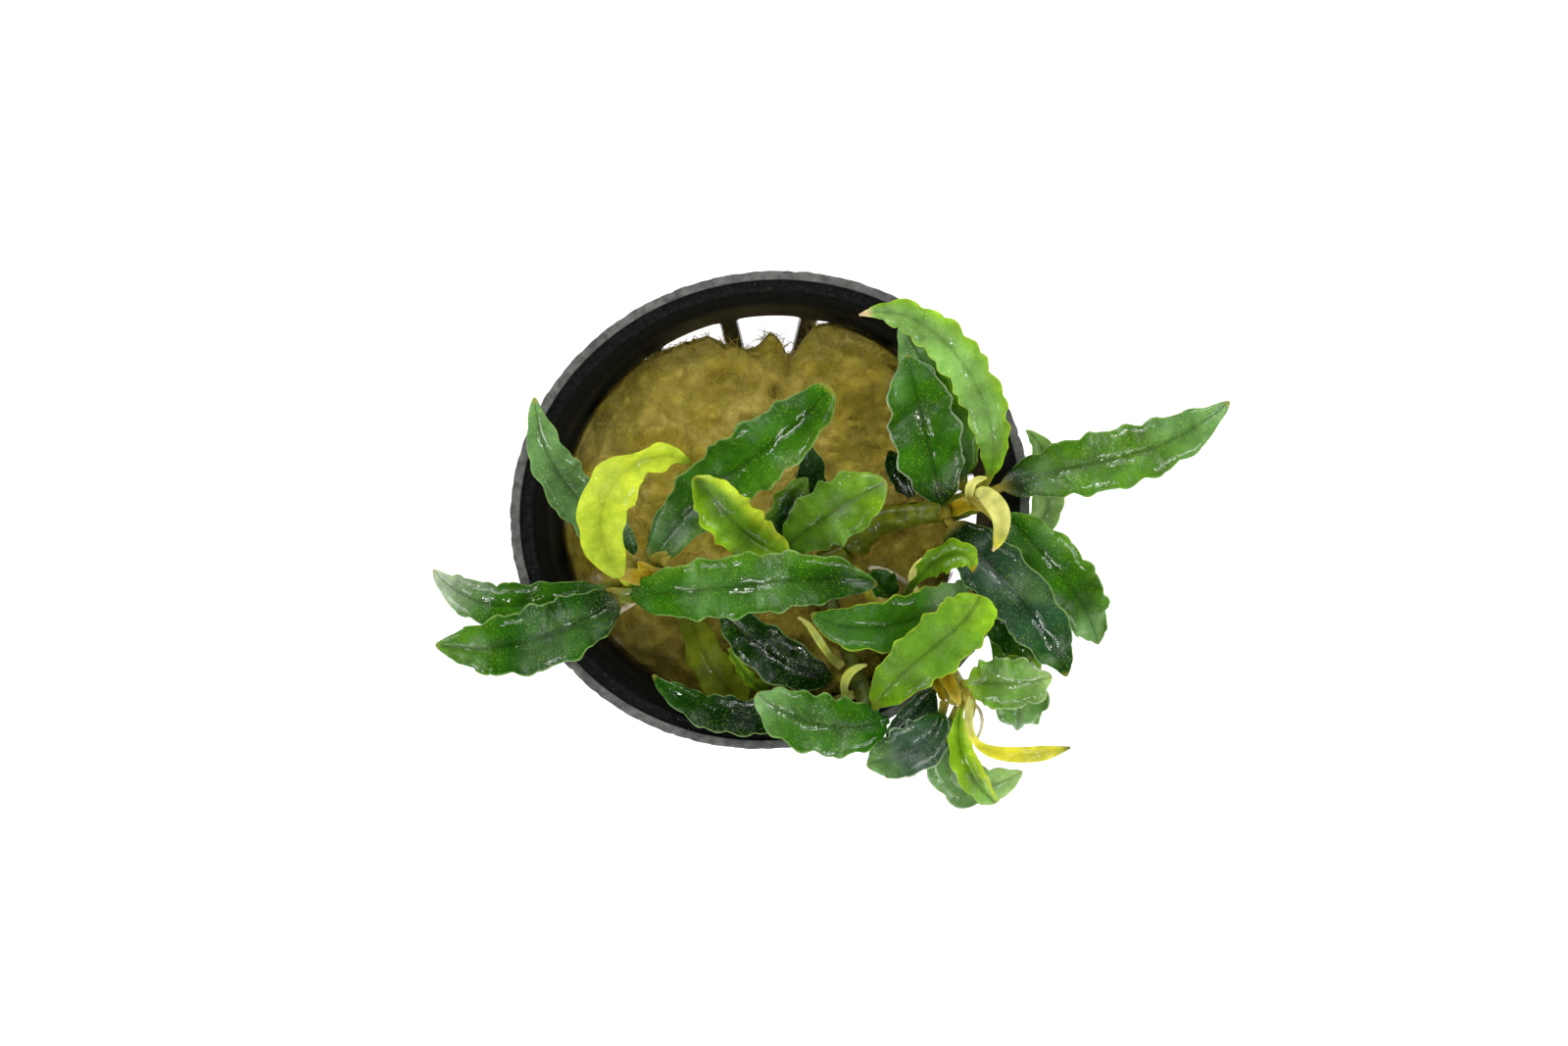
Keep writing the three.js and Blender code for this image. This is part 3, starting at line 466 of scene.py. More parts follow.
# Old leaf sheaths that wrap the crowns, each part of the stem or rhizome below it
SCALES = [
    scale("rhizome_left", "scale", 1,
          [[-12.2, -7.9, 47.2], [-13.4, -7.4, 49.2], [-15, -7.1, 49.9], [-16.9, -6.9, 49.6]]),
    scale("rhizome_left", "scale", 0.9,
          [[-12, -7, 46.8], [-12.2, -5.9, 48.4], [-11.8, -5.2, 49.2], [-10.6, -4.8, 49.4]],
          shades="straw straw straw"),
    scale("rhizome_left", "scale", 0.9,
          [[-13.2, -9, 47.2], [-14.6, -9.3, 48.6], [-16.2, -9.2, 49.2], [-17.8, -8.7, 49]],
          shades="amber old straw"),
    scale("rhizome_left", "scale", 0.8,
          [[-13.4, -6.8, 48], [-14.7, -5.9, 49.3], [-15.6, -5.1, 49.6], [-16.1, -4.2, 49.2]],
          shades="amber straw straw"),
    scale("rhizome_left", "scale", 0.9,
          [[-11, -7.6, 46.4], [-12, -7.2, 48.4], [-13.2, -6.6, 49.6], [-14.3, -5.6, 50]],
          shades="old amber amber"),
    scale("rhizome_right", "rhizome_scale", 0.55,
          [[21.6, 0.8, 52], [21.4, 2, 53.6], [21.9, 3, 54.4], [23.2, 3.4, 54.6]],
          shades="straw butter butter"),
    scale("rhizome_right", "rhizome_scale", 0.9,
          [[18.9, -0.5, 49], [20.3, 0.3, 50.9], [21.8, 0.6, 52.2], [23.6, 0, 52.8]]),
    scale("rhizome_right", "rhizome_scale", 0.6,
          [[21.8, 1.2, 52.6], [22.8, 0.4, 53.8], [23.8, -0.4, 54], [24.6, -1.2, 53.6]],
          shades="straw straw butter"),
    scale("stem_front_right", "scale", 0.8,
          [[18, -16.2, 52.4], [18.7, -17.7, 54.6], [19.5, -19.2, 56.2], [20.2, -20.7, 56.9]]),
    scale("stem_front_right", "scale", 0.6,
          [[17.3, -16.4, 51.6], [17.7, -17.9, 53.6], [18.2, -19.3, 55.2], [18.6, -20.6, 55.9]],
          shades="olive amber amber"),
    scale("stem_front_right", "scale", 0.6,
          [[20.6, -19, 55.4], [21.2, -20, 56.4], [21.4, -21.2, 56.6], [21.3, -22.6, 56.2]],
          shades="straw straw straw"),
]

ROOTS = [
    root("root_left", [[-14, -9.4, 46.2], [-16.4, -11, 45.4], [-18, -12, 43], [-18.6, -12.2, 39]]),
    root("root_right", [[11.2, -6.4, 43], [13.4, -7, 43.6], [15, -8, 42.4], [15.4, -8.4, 40.2]]),
    root("root_front_right", slim=0.6,
         line=[[21.5, -20.6, 54.1], [22.5, -21.6, 54.6], [22.7, -23, 54.2], [22.3, -24.4, 53.2]]),
]


# Helpers
def smooth(low, high, x):
    share = np.clip((x - low) / (high - low), 0, 1)
    return share * share * (3 - 2 * share)


def lerp(a, b, t):
    return a + (b - a) * t


def linear(name):
    """A palette colour as linear red, green and blue."""
    parts = np.array([int(PALETTE[name][i:i + 2], 16) for i in (1, 3, 5)]) / 255
    return np.where(parts <= 0.04045, parts / 12.92, ((parts + 0.055) / 1.055) ** 2.4)


def cubic(points, t):
    """The cubic that passes four points at 0, 1/3, 2/3 and 1."""
    t = np.asarray(t, float)[:, None]
    weights = (
        -4.5 * (t - 1 / 3) * (t - 2 / 3) * (t - 1),
        13.5 * t * (t - 2 / 3) * (t - 1),
        -13.5 * t * (t - 1 / 3) * (t - 1),
        4.5 * t * (t - 1 / 3) * (t - 2 / 3),
    )
    return sum(w * np.array(p, float) for w, p in zip(weights, points))


def frames(points, t, roll):
    """Directions along a curve, to its left and up from it, turned by roll in degrees."""
    step = 0.004
    along = cubic(points, t + step) - cubic(points, t - step)
    along /= np.linalg.norm(along, axis=1)[:, None]
    left = np.cross([0, 0, 1], along)
    left /= np.linalg.norm(left, axis=1)[:, None]
    angle = np.radians(roll)[:, None]
    left = left * np.cos(angle) + np.cross(along, left) * np.sin(angle)
    return left, np.cross(along, left)


def curve_length(points):
    places = cubic(points, np.linspace(0, 1, LENGTH_STEPS))
    return float(np.linalg.norm(np.diff(places, axis=0), axis=1).sum())


def wobble(t, pace, seed):
    """A smooth wandering value along t, between about -1 and 1."""
    rng = np.random.default_rng(seed)
    total = np.zeros_like(t)
    for share in (1.0, 1.7, 2.9):
        total += np.sin(2 * np.pi * pace * share * t + rng.uniform(0, 2 * np.pi)) / share
    return total / 1.9


def lattice_noise(points, cell, seed):
    """Smooth noise between -1 and 1 at points in mm, with lumps about cell mm across."""
    rng = np.random.default_rng(seed)
    size = 64
    values = rng.uniform(-1, 1, (size, size, size)).astype(np.float32)
    scaled = points / cell + 1000.0
    low = np.floor(scaled).astype(int)
    part = scaled - low
    part = part * part * (3 - 2 * part)
    total = 0
    for offset in itertools.product((0, 1), repeat=3):
        weight = np.where(offset, part, 1 - part).prod(axis=1)
        total = total + weight * values[tuple(((low + offset) % size).T)]
    return total


def layered_noise(points, layers, seed):
    """Noise of several sizes added up. Each layer has its height and its cell in mm."""
    return sum(
        height * lattice_noise(points, cell, seed + k) for k, (height, cell) in enumerate(layers)
    )


def squeezed(points):
    """Points of a round pot made oval: longer along its long axis, more so towards the rim."""
    turn = math.radians(LONG_AXIS_DEGREES)
    c, s = math.cos(turn), math.sin(turn)
    x = points[:, 0] * c + points[:, 1] * s
    y = -points[:, 0] * s + points[:, 1] * c
    squeeze = RIM_SQUEEZE * points[:, 2] / POT_HEIGHT
    x = x * (1 + squeeze)
    y = y * (1 - squeeze)
    return np.column_stack([x * c - y * s, x * s + y * c, points[:, 2]])


def make_piece(name, points, faces, attributes, material, slot, node):
    """A piece from points in mm and faces. Attributes are one number or colour per point."""
    quads, triangles = faces
    mesh = bpy.data.meshes.new(name)
    mesh.vertices.add(len(points))
    mesh.vertices.foreach_set("co", (np.asarray(points) * MM).astype(np.float32).ravel())
    loops = np.concatenate([quads.ravel(), triangles.ravel()])
    starts = np.concatenate([
        np.arange(len(quads)) * 4,
        len(quads) * 4 + np.arange(len(triangles)) * 3,
    ])
    mesh.loops.add(len(loops))
    mesh.loops.foreach_set("vertex_index", loops.astype(np.int32))
    mesh.polygons.add(len(starts))
    mesh.polygons.foreach_set("loop_start", starts.astype(np.int32))
    mesh.update(calc_edges=True)
    mesh.polygons.foreach_set("use_smooth", np.ones(len(starts), bool))
    for key, values in attributes.items():
        values = np.asarray(values, np.float32)
        if values.ndim == 2:
            layer = mesh.attributes.new(key, "FLOAT_COLOR", "POINT")
            full = np.column_stack([values, np.ones(len(values), np.float32)])
            layer.data.foreach_set("color", full.ravel())
        else:
            layer = mesh.attributes.new(key, "FLOAT", "POINT")
            layer.data.foreach_set("value", values)
    mesh.validate()
    mesh.materials.append(material)
    piece = bpy.data.objects.new(name, mesh)
    bpy.context.scene.collection.objects.link(piece)
    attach(piece, BODY)
    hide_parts(node)
    return piece


def ring_faces(rows, ring):
    """Quads of a closed tube of rings, with its two ends as fans round two more points."""
    row, column = np.meshgrid(np.arange(rows - 1), np.arange(ring), indexing="ij")
    here = row * ring + column
    side = row * ring + (column + 1) % ring
    quads = np.stack([here, side, side + ring, here + ring], -1).reshape(-1, 4)
    first, last = rows * ring, rows * ring + 1
    k = np.arange(ring)
    start = np.column_stack([np.full(ring, first), (k + 1) % ring, k])
    base = (rows - 1) * ring
    end = np.column_stack([np.full(ring, last), base + k, base + (k + 1) % ring])
    return quads, np.vstack([start, end])


# Materials
class Nodes:
    """A node tree, with short calls for its nodes."""

    def __init__(self, tree):
        self.tree = tree

    def add(self, kind, settings=None, **inputs):
        node = self.tree.nodes.new(kind)
        for key, value in (settings or {}).items():
            setattr(node, key, value)
        self.feed_all(node, inputs)
        return node

    def feed(self, node, key, value):
        socket = node.inputs[int(key[1:])] if key[0] == "#" else node.inputs[key]
        if isinstance(value, bpy.types.NodeSocket):
            self.tree.links.new(value, socket)
        else:
            socket.default_value = value

    def feed_all(self, node, inputs):
        for key, value in inputs.items():
            self.feed(node, key.replace("_", " "), value)

    def ranged(self, value, low, high, to_low=0.0, to_high=1.0, **settings):
        """A value mapped from one range to another."""
        node = self.add("ShaderNodeMapRange", settings, Value=value, From_Min=low, From_Max=high,
                        To_Min=to_low, To_Max=to_high)
        return node.outputs["Result"]


class Shader(Nodes):
    """A material of one Principled surface."""

    def __init__(self, name):
        self.material = bpy.data.materials.new(name)
        self.material.use_nodes = True
        super().__init__(self.material.node_tree)
        self.surface = self.tree.nodes["Principled BSDF"]

    def value(self, name, output="Fac"):
        """A number kept on the mesh, or a colour."""
        return self.add("ShaderNodeAttribute", {"attribute_name": name}).outputs[output]

    def here(self):
        return self.add("ShaderNodeTexCoord").outputs["Object"]

    def height(self, axis="Z"):
        """Millimetres above the ground, or along another axis."""
        parts = self.add("ShaderNodeSeparateXYZ", Vector=self.here())
        return self.math("DIVIDE", parts.outputs[axis], MM)

    def noise(self, size_mm, detail=3, roughness=0.55, distortion=0.0):
        node = self.add("ShaderNodeTexNoise", Vector=self.here(), Scale=1 / (size_mm * MM),
                        Detail=detail, Roughness=roughness, Distortion=distortion)
        return node.outputs["Fac"]

    def streaks(self, length_mm, width_mm, detail=1):
        """Noise drawn out along a leaf."""
        along = self.math("DIVIDE", self.value("along"), length_mm)
        across = self.math("DIVIDE", self.value("across"), width_mm)
        spot = self.add("ShaderNodeCombineXYZ", X=along, Y=across).outputs["Vector"]
        return self.add("ShaderNodeTexNoise", Vector=spot, Scale=1.0, Detail=detail).outputs["Fac"]

    def cells(self, size_mm):
        """How far each spot is from the middle of its cell."""
        node = self.add("ShaderNodeTexVoronoi", Vector=self.here(), Scale=1 / (size_mm * MM))
        return node.outputs["Distance"]

    def ridge(self, away, place_mm, width_mm):
        """A smooth narrow ridge where a distance in mm equals place_mm."""
        distance = self.math("ABSOLUTE", self.math("SUBTRACT", away, place_mm))
        return self.ranged(distance, width_mm, 0.0, interpolation_type="SMOOTHSTEP")

    def beads(self):
        """Wet glints in broken lines beside a leaf's midrib and inside its margin."""
        drift = self.ranged(self.streaks(3.0, 9.0, 2), 0.3, 0.7, -0.3, 0.3)
        from_vein = self.math("ADD", self.math("ABSOLUTE", self.value("across")), drift)
        from_margin = self.math("ADD", self.value("inset"), drift)
        beside = self.math("MULTIPLY", self.ridge(from_vein, 0.5, 0.32),
                           self.ranged(self.streaks(6.0, 5.0), 0.53, 0.61))
        edge = self.math("MULTIPLY", self.ridge(from_margin, 0.75, 0.3),
                         self.ranged(self.streaks(8.0, 3.0), 0.55, 0.62))
        broken = self.ranged(self.streaks(1.4, 2.0, 2), 0.37, 0.49)
        return self.math("MULTIPLY", self.math("MAXIMUM", beside, edge), broken)

    def math(self, operation, a, b=0.0):
        node = self.add("ShaderNodeMath", {"operation": operation})
        self.feed(node, "#0", a)
        self.feed(node, "#1", b)
        return node.outputs["Value"]

    def mix(self, share, a, b, blend="MIX"):
        node = self.add("ShaderNodeMix", {"data_type": "RGBA", "blend_type": blend})
        for index, value in ((0, share), (6, a), (7, b)):
            if isinstance(value, tuple):
                value = (*value, 1)
            self.feed(node, f"#{index}", value)
        return node.outputs[2]

    def bump(self, height, strength, depth_mm, normal=None):
        node = self.add("ShaderNodeBump", Height=height, Strength=strength, Distance=depth_mm * MM)
        if normal is not None:
            self.feed(node, "Normal", normal)
        return node.outputs["Normal"]

    def set(self, **inputs):
        self.feed_all(self.surface, inputs)


def leaf_material(name, roughness, coat, speckle, gloss, glow=0.0):
    """A leaf: painted colour, fine pale flecks, ripples, a patchy gloss and wet glints."""
    m = Shader(name)
    paint = m.value("paint", "Color")
    patches = m.noise(1.6)
    grain = m.noise(0.16, detail=2)
    cells = m.cells(0.28)
    shaded = m.mix(m.ranged(patches, 0.35, 0.7), paint, m.mix(1.0, paint, LEAF_PATCH, "MULTIPLY"))
    dense = m.math("MULTIPLY", m.ranged(m.noise(2.6), 0.4, 0.6, 0.3, 1.0), speckle)
    flecks = m.math("MULTIPLY", m.ranged(cells, 0.44, 0.2), m.ranged(grain, 0.4, 0.58))
    light = m.mix(0.5, m.mix(1.0, paint, LEAF_FLECK_TINT, "MULTIPLY"), LEAF_FLECK)
    flecked = m.mix(m.math("MULTIPLY", flecks, dense), shaded, light)
    beads = m.beads()
    ripple = m.bump(m.streaks(5.0, 1.6), 0.4, 0.16)
    m.set(
        Base_Color=flecked,
        Roughness=m.ranged(grain, 0.3, 0.7, roughness - 0.06, roughness + 0.08),
        Normal=m.bump(cells, 0.5, 0.05, ripple),
        Coat_Weight=m.math("MULTIPLY", m.ranged(beads, 0.0, 0.1), coat),
        Coat_Roughness=0.05,
        Coat_IOR=2.2,
        Coat_Normal=m.bump(beads, 1.0, 0.2, ripple),
        Specular_IOR_Level=m.ranged(m.noise(4.5, detail=1), 0.46, 0.62, 0.03, gloss),
    )
    if glow:
        m.set(Subsurface_Weight=glow, Subsurface_Radius=(0.5, 0.8, 0.2), Subsurface_Scale=0.5 * MM)
    return m.material


def stem_material(name, light, dark, ring_size):
    """A fleshy stem: rings of old leaf scars, brown flecks and a satin skin."""
    m = Shader(name)
    rings = m.math("SINE", m.math("MULTIPLY", m.value("along"), 2 * math.pi / ring_size))
    patches = m.noise(1.2)
    base = m.mix(m.ranged(patches, 0.35, 0.65), light, dark)
    scarred = m.mix(m.ranged(rings, 0.9, 1.0, 0.0, 0.16), base, STEM_SCAR)
    flecked = m.mix(m.ranged(m.noise(0.25), 0.62, 0.78, 0.0, 0.4), scarred, STEM_FLECK)
    m.set(
        Base_Color=flecked,
        Roughness=m.ranged(patches, 0.3, 0.7, 0.32, 0.5),
        Specular_IOR_Level=0.25,
        Normal=m.bump(m.noise(0.5), 0.3, 0.1),
        Coat_Weight=0.4,
        Coat_Roughness=0.1,
    )
    return m.material


def root_material(name):
    m = Shader(name)
    m.set(
        Base_Color=m.mix(m.ranged(m.noise(0.6), 0.35, 0.65), ROOT_PALE, ROOT_BROWN),
        Roughness=m.ranged(m.noise(0.3), 0.3, 0.7, 0.45, 0.7),
        Normal=m.bump(m.noise(0.2), 0.5, 0.08),
    )
    return m.material


def rockwool_material(name, lift):
    """Wet mineral wool: golden and olive mats, painted shade in its pits and towards the front
    under the leaves, a darker packed side.
    """
    m = Shader(name)
    wide = m.noise(6.0, detail=3, roughness=0.6, distortion=0.8)
    mats = m.noise(1.5, detail=6, roughness=0.7, distortion=1.6)
    tufts = m.noise(0.5, detail=4, roughness=0.7, distortion=2.0)
    tan, gold, olive, brown = (tuple(np.array(colour) * lift) for colour in WOOL_TOP)
    side_dark, side_light, side_mat = WOOL_SIDE
    base = m.mix(m.ranged(wide, 0.4, 0.62), tan, gold)
    toned = m.mix(m.ranged(m.noise(3.4, distortion=1.0), 0.46, 0.66, 0.0, 0.6), base, olive)
    matted = m.mix(m.ranged(mats, 0.46, 0.28, 0.0, 0.5), toned, brown)
    tufted = m.mix(m.ranged(tufts, 0.5, 0.72, 0.0, 0.35), matted, tan)
    fuzz = m.mix(m.ranged(tufts, 0.4, 0.66), side_dark, side_light)
    packed = m.mix(m.ranged(mats, 0.42, 0.62, 0.0, 0.6), fuzz, side_mat)
    shaded = m.mix(m.ranged(m.height(), 38.0, 35.0, 0.0, 0.95), tufted, packed)
    # Painted shadow: the wool darkens towards the front, where the leaves above shade it
    painted_leaf_shadow = m.mix(m.ranged(m.height("Y"), -4.0, -16.0, 0.0, 0.6), shaded, brown)
    # Painted shade in the pits and hollows of the top
    deep = m.mix(m.value("hollow_shade"), painted_leaf_shadow, brown)
    m.set(
        Base_Color=m.mix(m.value("cream"), deep, WOOL_CREAM),
        Roughness=0.85,
        Specular_IOR_Level=0.15,
        Normal=m.bump(tufts, 0.6, 0.2, m.bump(mats, 0.8, 0.4)),
    )
    return m.material


def pot_material(name):
    """Black moulded plastic: satin below, dull and dry at the rim, with dust, a worn outer lip and
    a painted highlight along its top.
    """
    m = Shader(name)
    grain = m.noise(0.5, detail=5)
    wide = m.noise(4.0)
    dust = m.math("MULTIPLY", m.ranged(m.cells(0.45), 0.12, 0.04), m.ranged(wide, 0.45, 0.62))
    wear_highlight_streaks = m.ranged(m.noise(0.9, detail=5), 0.36, 0.66, 0.45, 1.0)
    base = m.mix(m.ranged(grain, 0.4, 0.7), PLASTIC_DARK, PLASTIC_GREY)
    # Painted highlight and wear: the lip's top is made pale grey in ragged streaks where it would
    # catch the light, its outer face a little for wear
    worn_and_highlit = m.mix(m.math("MULTIPLY", m.value("wear_and_highlight"), wear_highlight_streaks), base, PLASTIC_WORN_AND_HIGHLIT)
    dry = m.ranged(m.height(), 41.0, 43.5)
    satin = m.ranged(wide, 0.3, 0.7, 0.3, 0.4)
    m.set(
        Base_Color=m.mix(m.math("MULTIPLY", dust, 0.8), worn_and_highlit, DUST),
        Roughness=m.math("ADD", satin, m.ranged(dry, 0.0, 1.0, 0.0, 0.3)),
        Specular_IOR_Level=m.ranged(dry, 0.0, 1.0, 0.15, 0.03),
        Normal=m.bump(grain, 0.25, 0.08),
    )
    return m.material


# Leaves
def blade_width(leaf, t):
    """Half the width of a leaf's outline without its scallops and crimps."""
    base = leaf.get("base", BLADE_BASE)
    along = np.clip((t - base) / (1 - base), 0, 1)
    arch = np.abs(np.sin(np.pi * along ** leaf.get("peak", BLADE_PEAK)))
    oval = leaf["halfWidth"] * arch ** leaf.get("blunt", BLADE_BLUNT)
    middle, reach, depth = leaf.get("waist", NO_WAIST)
    oval = oval * (1 - depth * np.exp(-(((t - middle) / reach) ** 2)))
    oval = oval * (1 - leaf.get("point", TIP_POINT) * smooth(*TIP_ZONE, t))
    return np.maximum(lerp(PETIOLE_RADIUS, TIP_RADIUS, t), oval)


def margin_crimp(leaf, t, v, length, seed):
    """The rise of the crimped margin, and the factor that its lobes widen the outline by."""
    wander_pace, wander_reach = CRIMP_WANDER
    crimps = length / leaf.get("crimp_length", CRIMP_LENGTH)
    side_phase = np.where(v > 0, 1.7, 0.0)
    left_wander = wobble(t, wander_pace, seed)
    right_wander = wobble(t, wander_pace, seed + OTHER_SIDE)
    wander = np.where(v > 0, left_wander, right_wander)
    turn = 2 * np.pi * crimps * t + side_phase + wander_reach * wander
    size = leaf.get("crimp", CRIMP) * smooth(0.08, 0.25, t) * (1 - 0.6 * smooth(0.9, 1, t))
    rise = size * (np.sin(turn) + 0.3 * np.sin(2.3 * turn + 1))
    lobes = 2 * np.abs(np.cos(turn / 2)) - 1
    return rise, 1 + FRILL * leaf.get("frill", 1) * size / leaf["halfWidth"] * np.abs(v)**3 * lobes


def leaf_surface(leaf, seed):
    """Points of a leaf's closed skin, and for each its place along, across and on which side."""
    length = curve_length(leaf["midrib"])
    rows = max(LEAF_ROWS_MIN, int(length / LEAF_STEP))
    t_row = np.linspace(LEAF_START, 1, rows)
    left, up = frames(leaf["midrib"], t_row, lerp(*leaf.get("roll", (0, 0)), t_row))
    angle = 2 * np.pi * np.arange(LEAF_RING) / LEAF_RING
    t = np.repeat(t_row, LEAF_RING)
    v = np.tile(np.sin(angle), rows)
    side = np.tile(np.cos(angle), rows)
    left, up = np.repeat(left, LEAF_RING, 0), np.repeat(up, LEAF_RING, 0)
    middle = np.repeat(cubic(leaf["midrib"], t_row), LEAF_RING, 0)

    ruffle, waves = leaf["ruffle"]
    turn = 2 * np.pi * waves * t
    fold = math.radians(leaf["fold"])
    edge = np.abs(v)
    opens, closes = WAVE_ZONES
    blade = smooth(*opens, t) * (1 - smooth(*closes, t))
    scallop = 1 + SCALLOP * np.sin(SCALLOP_PACE * turn + SCALLOP_LAG * v) * edge
    crimp, frill = margin_crimp(leaf, t, v, length, seed)

    width = blade_width(leaf, t) * scallop * frill
    rise = edge * width * math.sin(fold)
    wave = ruffle * blade * edge**WAVE_RISE * np.sin(turn + WAVE_LAG * v)
    across = v * width
    thickness = lerp(2 * PETIOLE_RADIUS, leaf.get("thickness", LEAF_THICKNESS), smooth(0, 0.15, t))
    thin = 1 - 0.4 * smooth(0.8, 1, t)
    shell = 0.5 * thickness * thin * np.sign(side) * np.abs(side) ** 0.75
    groove = leaf.get("groove", GROOVE_DEPTH) * blade * np.exp(-((across / GROOVE_WIDTH) ** 2))
    veins = np.sin(2 * np.pi * length * t / QUILT_PITCH - QUILT_SLANT * edge)
    quilt = QUILT_DEPTH * blade * veins * smooth(0.1, 0.4, edge)
    lift = rise + wave + shell - groove + quilt + crimp * edge**4
    points = middle + left * (across * math.cos(fold))[:, None] + up * lift[:, None]
    points = np.vstack([points, cubic(leaf["midrib"], np.array([t_row[0], LEAF_END]))])
    ends = ((t, LEAF_START, 1), (v, 0, 0), (side, 1, 1))
    t, v, side = (np.append(values, (first, last)) for values, first, last in ends)
    return points, ring_faces(rows, LEAF_RING), t, v, side


def leaf_paint(leaf, points, t, v, side, seed):
    """The blade's colour: along it, darker on the midrib, paler at the margin and underneath."""
    finish = FINISHES[leaf["finish"]]
    base, middle, end = (linear(name) for name in leaf.get("shades", finish["shades"]).split())
    paint = lerp(base, middle, smooth(*MIDDLE_ZONE, t)[:, None])
    edge = np.abs(v)

    def blend(colour, share):
        return lerp(paint, colour, share[:, None])

    paint = blend(end, smooth(*END_ZONE, t))
    for key, away in (("left", v), ("right", -v)):
        if key in leaf:
            paint = blend(linear(leaf[key]), 0.85 * smooth(*SIDE_ZONE, away))
    blotch = layered_noise(points, BLOTCHES, seed)
    inner = np.exp(-((v * leaf["halfWidth"] / MIDDLE_WIDTH) ** 2))
    # Painted sheen: pale grey-green patches that stand for light reflected off the blade
    bloom = smooth(0.0, 0.7, lattice_noise(points, 4.2, seed + 2)) * smooth(0.97, 0.7, edge)
    paint = blend(linear("sheen"), bloom * leaf.get("bloom", finish["bloom"]))
    mottle = leaf.get("mottle", MOTTLE) * blotch
    paint = paint * ((1 + mottle) * (1.06 - 0.2 * inner))[:, None]
    stalk_end = smooth(0.05, 0.15, t)
    vein = np.exp(-((v * leaf["halfWidth"] / VEIN_WIDTH) ** 2)) * stalk_end
    paint = blend(paint * 0.45, vein * leaf.get("vein", VEIN))
    paint = blend(paint * 0.6 + linear("sheen") * 0.4, smooth(0.1, -0.2, side))
    paint = blend(linear("straw"), 0.5 * smooth(*STRAW_ZONE, t))
    margin = smooth(*MARGIN_ZONE, edge) * stalk_end
    paint = blend(linear(leaf.get("edge", finish["edge"])), 0.6 * margin)
    if "tip" in leaf:
        paint = blend(linear(leaf["tip"]), 0.85 * smooth(*COLOUR_TIP_ZONE, t))
    return blend(linear(leaf.get("stalk", "straw")), 0.8 * (1 - smooth(*STALK_ZONE, t)))


def make_leaf(leaf, material, seed):
    points, faces, t, v, side = leaf_surface(leaf, seed)
    points = np.clip(points, *(np.array(CAD_BOX) / MM))
    paint = leaf_paint(leaf, points, t, v, side, seed)
    attributes = {
        "along": t * curve_length(leaf["midrib"]) + ALONG_STRIDE * seed,
        "across": v * leaf["halfWidth"],
        "inset": (1 - np.abs(v)) * leaf["halfWidth"],
        "paint": np.clip(paint, 0, 1),
    }
    make_piece(leaf["name"] + "_skin", points, faces, attributes, material,
               FINISHES[leaf["finish"]]["slot"], leaf.get("node", leaf["name"]))


# Stems and roots
def make_tube(tube, material, seed, ring, step, rings):
    """A tapering tube with uneven rings, swelling into a crown at its end."""
    line, radii = tube["line"], tube["radii"]
    length = curve_length(line)
    overrun = TUBE_OVERRUN / length
    rows = max(TUBE_ROWS_MIN, int(length / step))
    t_row = np.linspace(-overrun, 1 + overrun, rows)
    left, up = frames(line, t_row, np.zeros(rows))
    middle = cubic(line, t_row)
    angle = 2 * np.pi * np.arange(ring) / ring
    radius = lerp(radii[0], radii[1], t_row) + tube["crown"] * smooth(*CROWN_ZONE, t_row)
    end = np.minimum((t_row + overrun), (1 + overrun - t_row)) * length
    radius = radius * np.sqrt(np.clip(end / TUBE_OVERRUN, 0.02, 1))
    ring_turn = 2 * np.pi * t_row * length / RING_PITCH
    radius = radius * (1 + rings * np.sin(ring_turn + 1.5 * wobble(t_row, 1.5, seed)))
    cos, sin = np.cos(angle)[None, :, None], np.sin(angle)[None, :, None]
    around = cos * left[:, None, :] + sin * up[:, None, :]
    points = (middle[:, None, :] + around * radius[:, None, None]).reshape(-1, 3)
    lumps = lattice_noise(points, 0.9, seed) * TUBE_LUMP * radii[0]
    points = points + around.reshape(-1, 3) * lumps[:, None]
    points = np.vstack([points, middle[0], middle[-1]])
    along = np.append(np.repeat(t_row * length, ring), (0, length))
    make_piece(tube["name"] + "_skin", points, ring_faces(rows, ring), {"along": along}, material,
               tube["finish"], tube["name"])


# Rockwool
def bump_at(azimuth, middle, reach):
    """1 in one direction, fading to 0 within a reach in degrees to either side."""
    away = np.abs((azimuth - middle + 540) % 360 - 180)
    return 1 - smooth(0, reach, away)


def near(points, x, y, radius):
    """1 at a spot seen from above, fading to 0 round it."""
    return np.exp(-((points[:, 0] - x) ** 2 + (points[:, 1] - y) ** 2) / radius**2)


def wall_radius(z):
    """The inner radius of the pot's wall at a height."""
    return RIM_RADIUS - LIP_WIDTH - LEDGE_WIDTH - WALL_SLOPE * (LEDGE_Z - z)


def plug_point(share, z, azimuth):
    """A point of the plain plug at a share of its full radius, before its fine lumps."""
    middle, reach, depth = PLUG_HOLLOW
    torn = 1 - np.interp(azimuth, *np.array(TORN_EDGE).T)
    lost = depth * bump_at(azimuth, middle, reach) + torn
    full = share * (wall_radius(z) - GAP)
    radius = full * (1 - lost * smooth(*PLUG_HOLLOWS_ABOVE, z))
    angle = np.radians(azimuth)
    x, y = full * np.cos(angle), full * np.sin(angle)
    lump = PLUG_LUMP * np.sin(0.5 * x + 1) * np.sin(0.46 * y + 0.6) * smooth(*PLUG_LUMPS_ABOVE, z)
    return np.column_stack([radius * np.cos(angle), radius * np.sin(angle), z + lump])


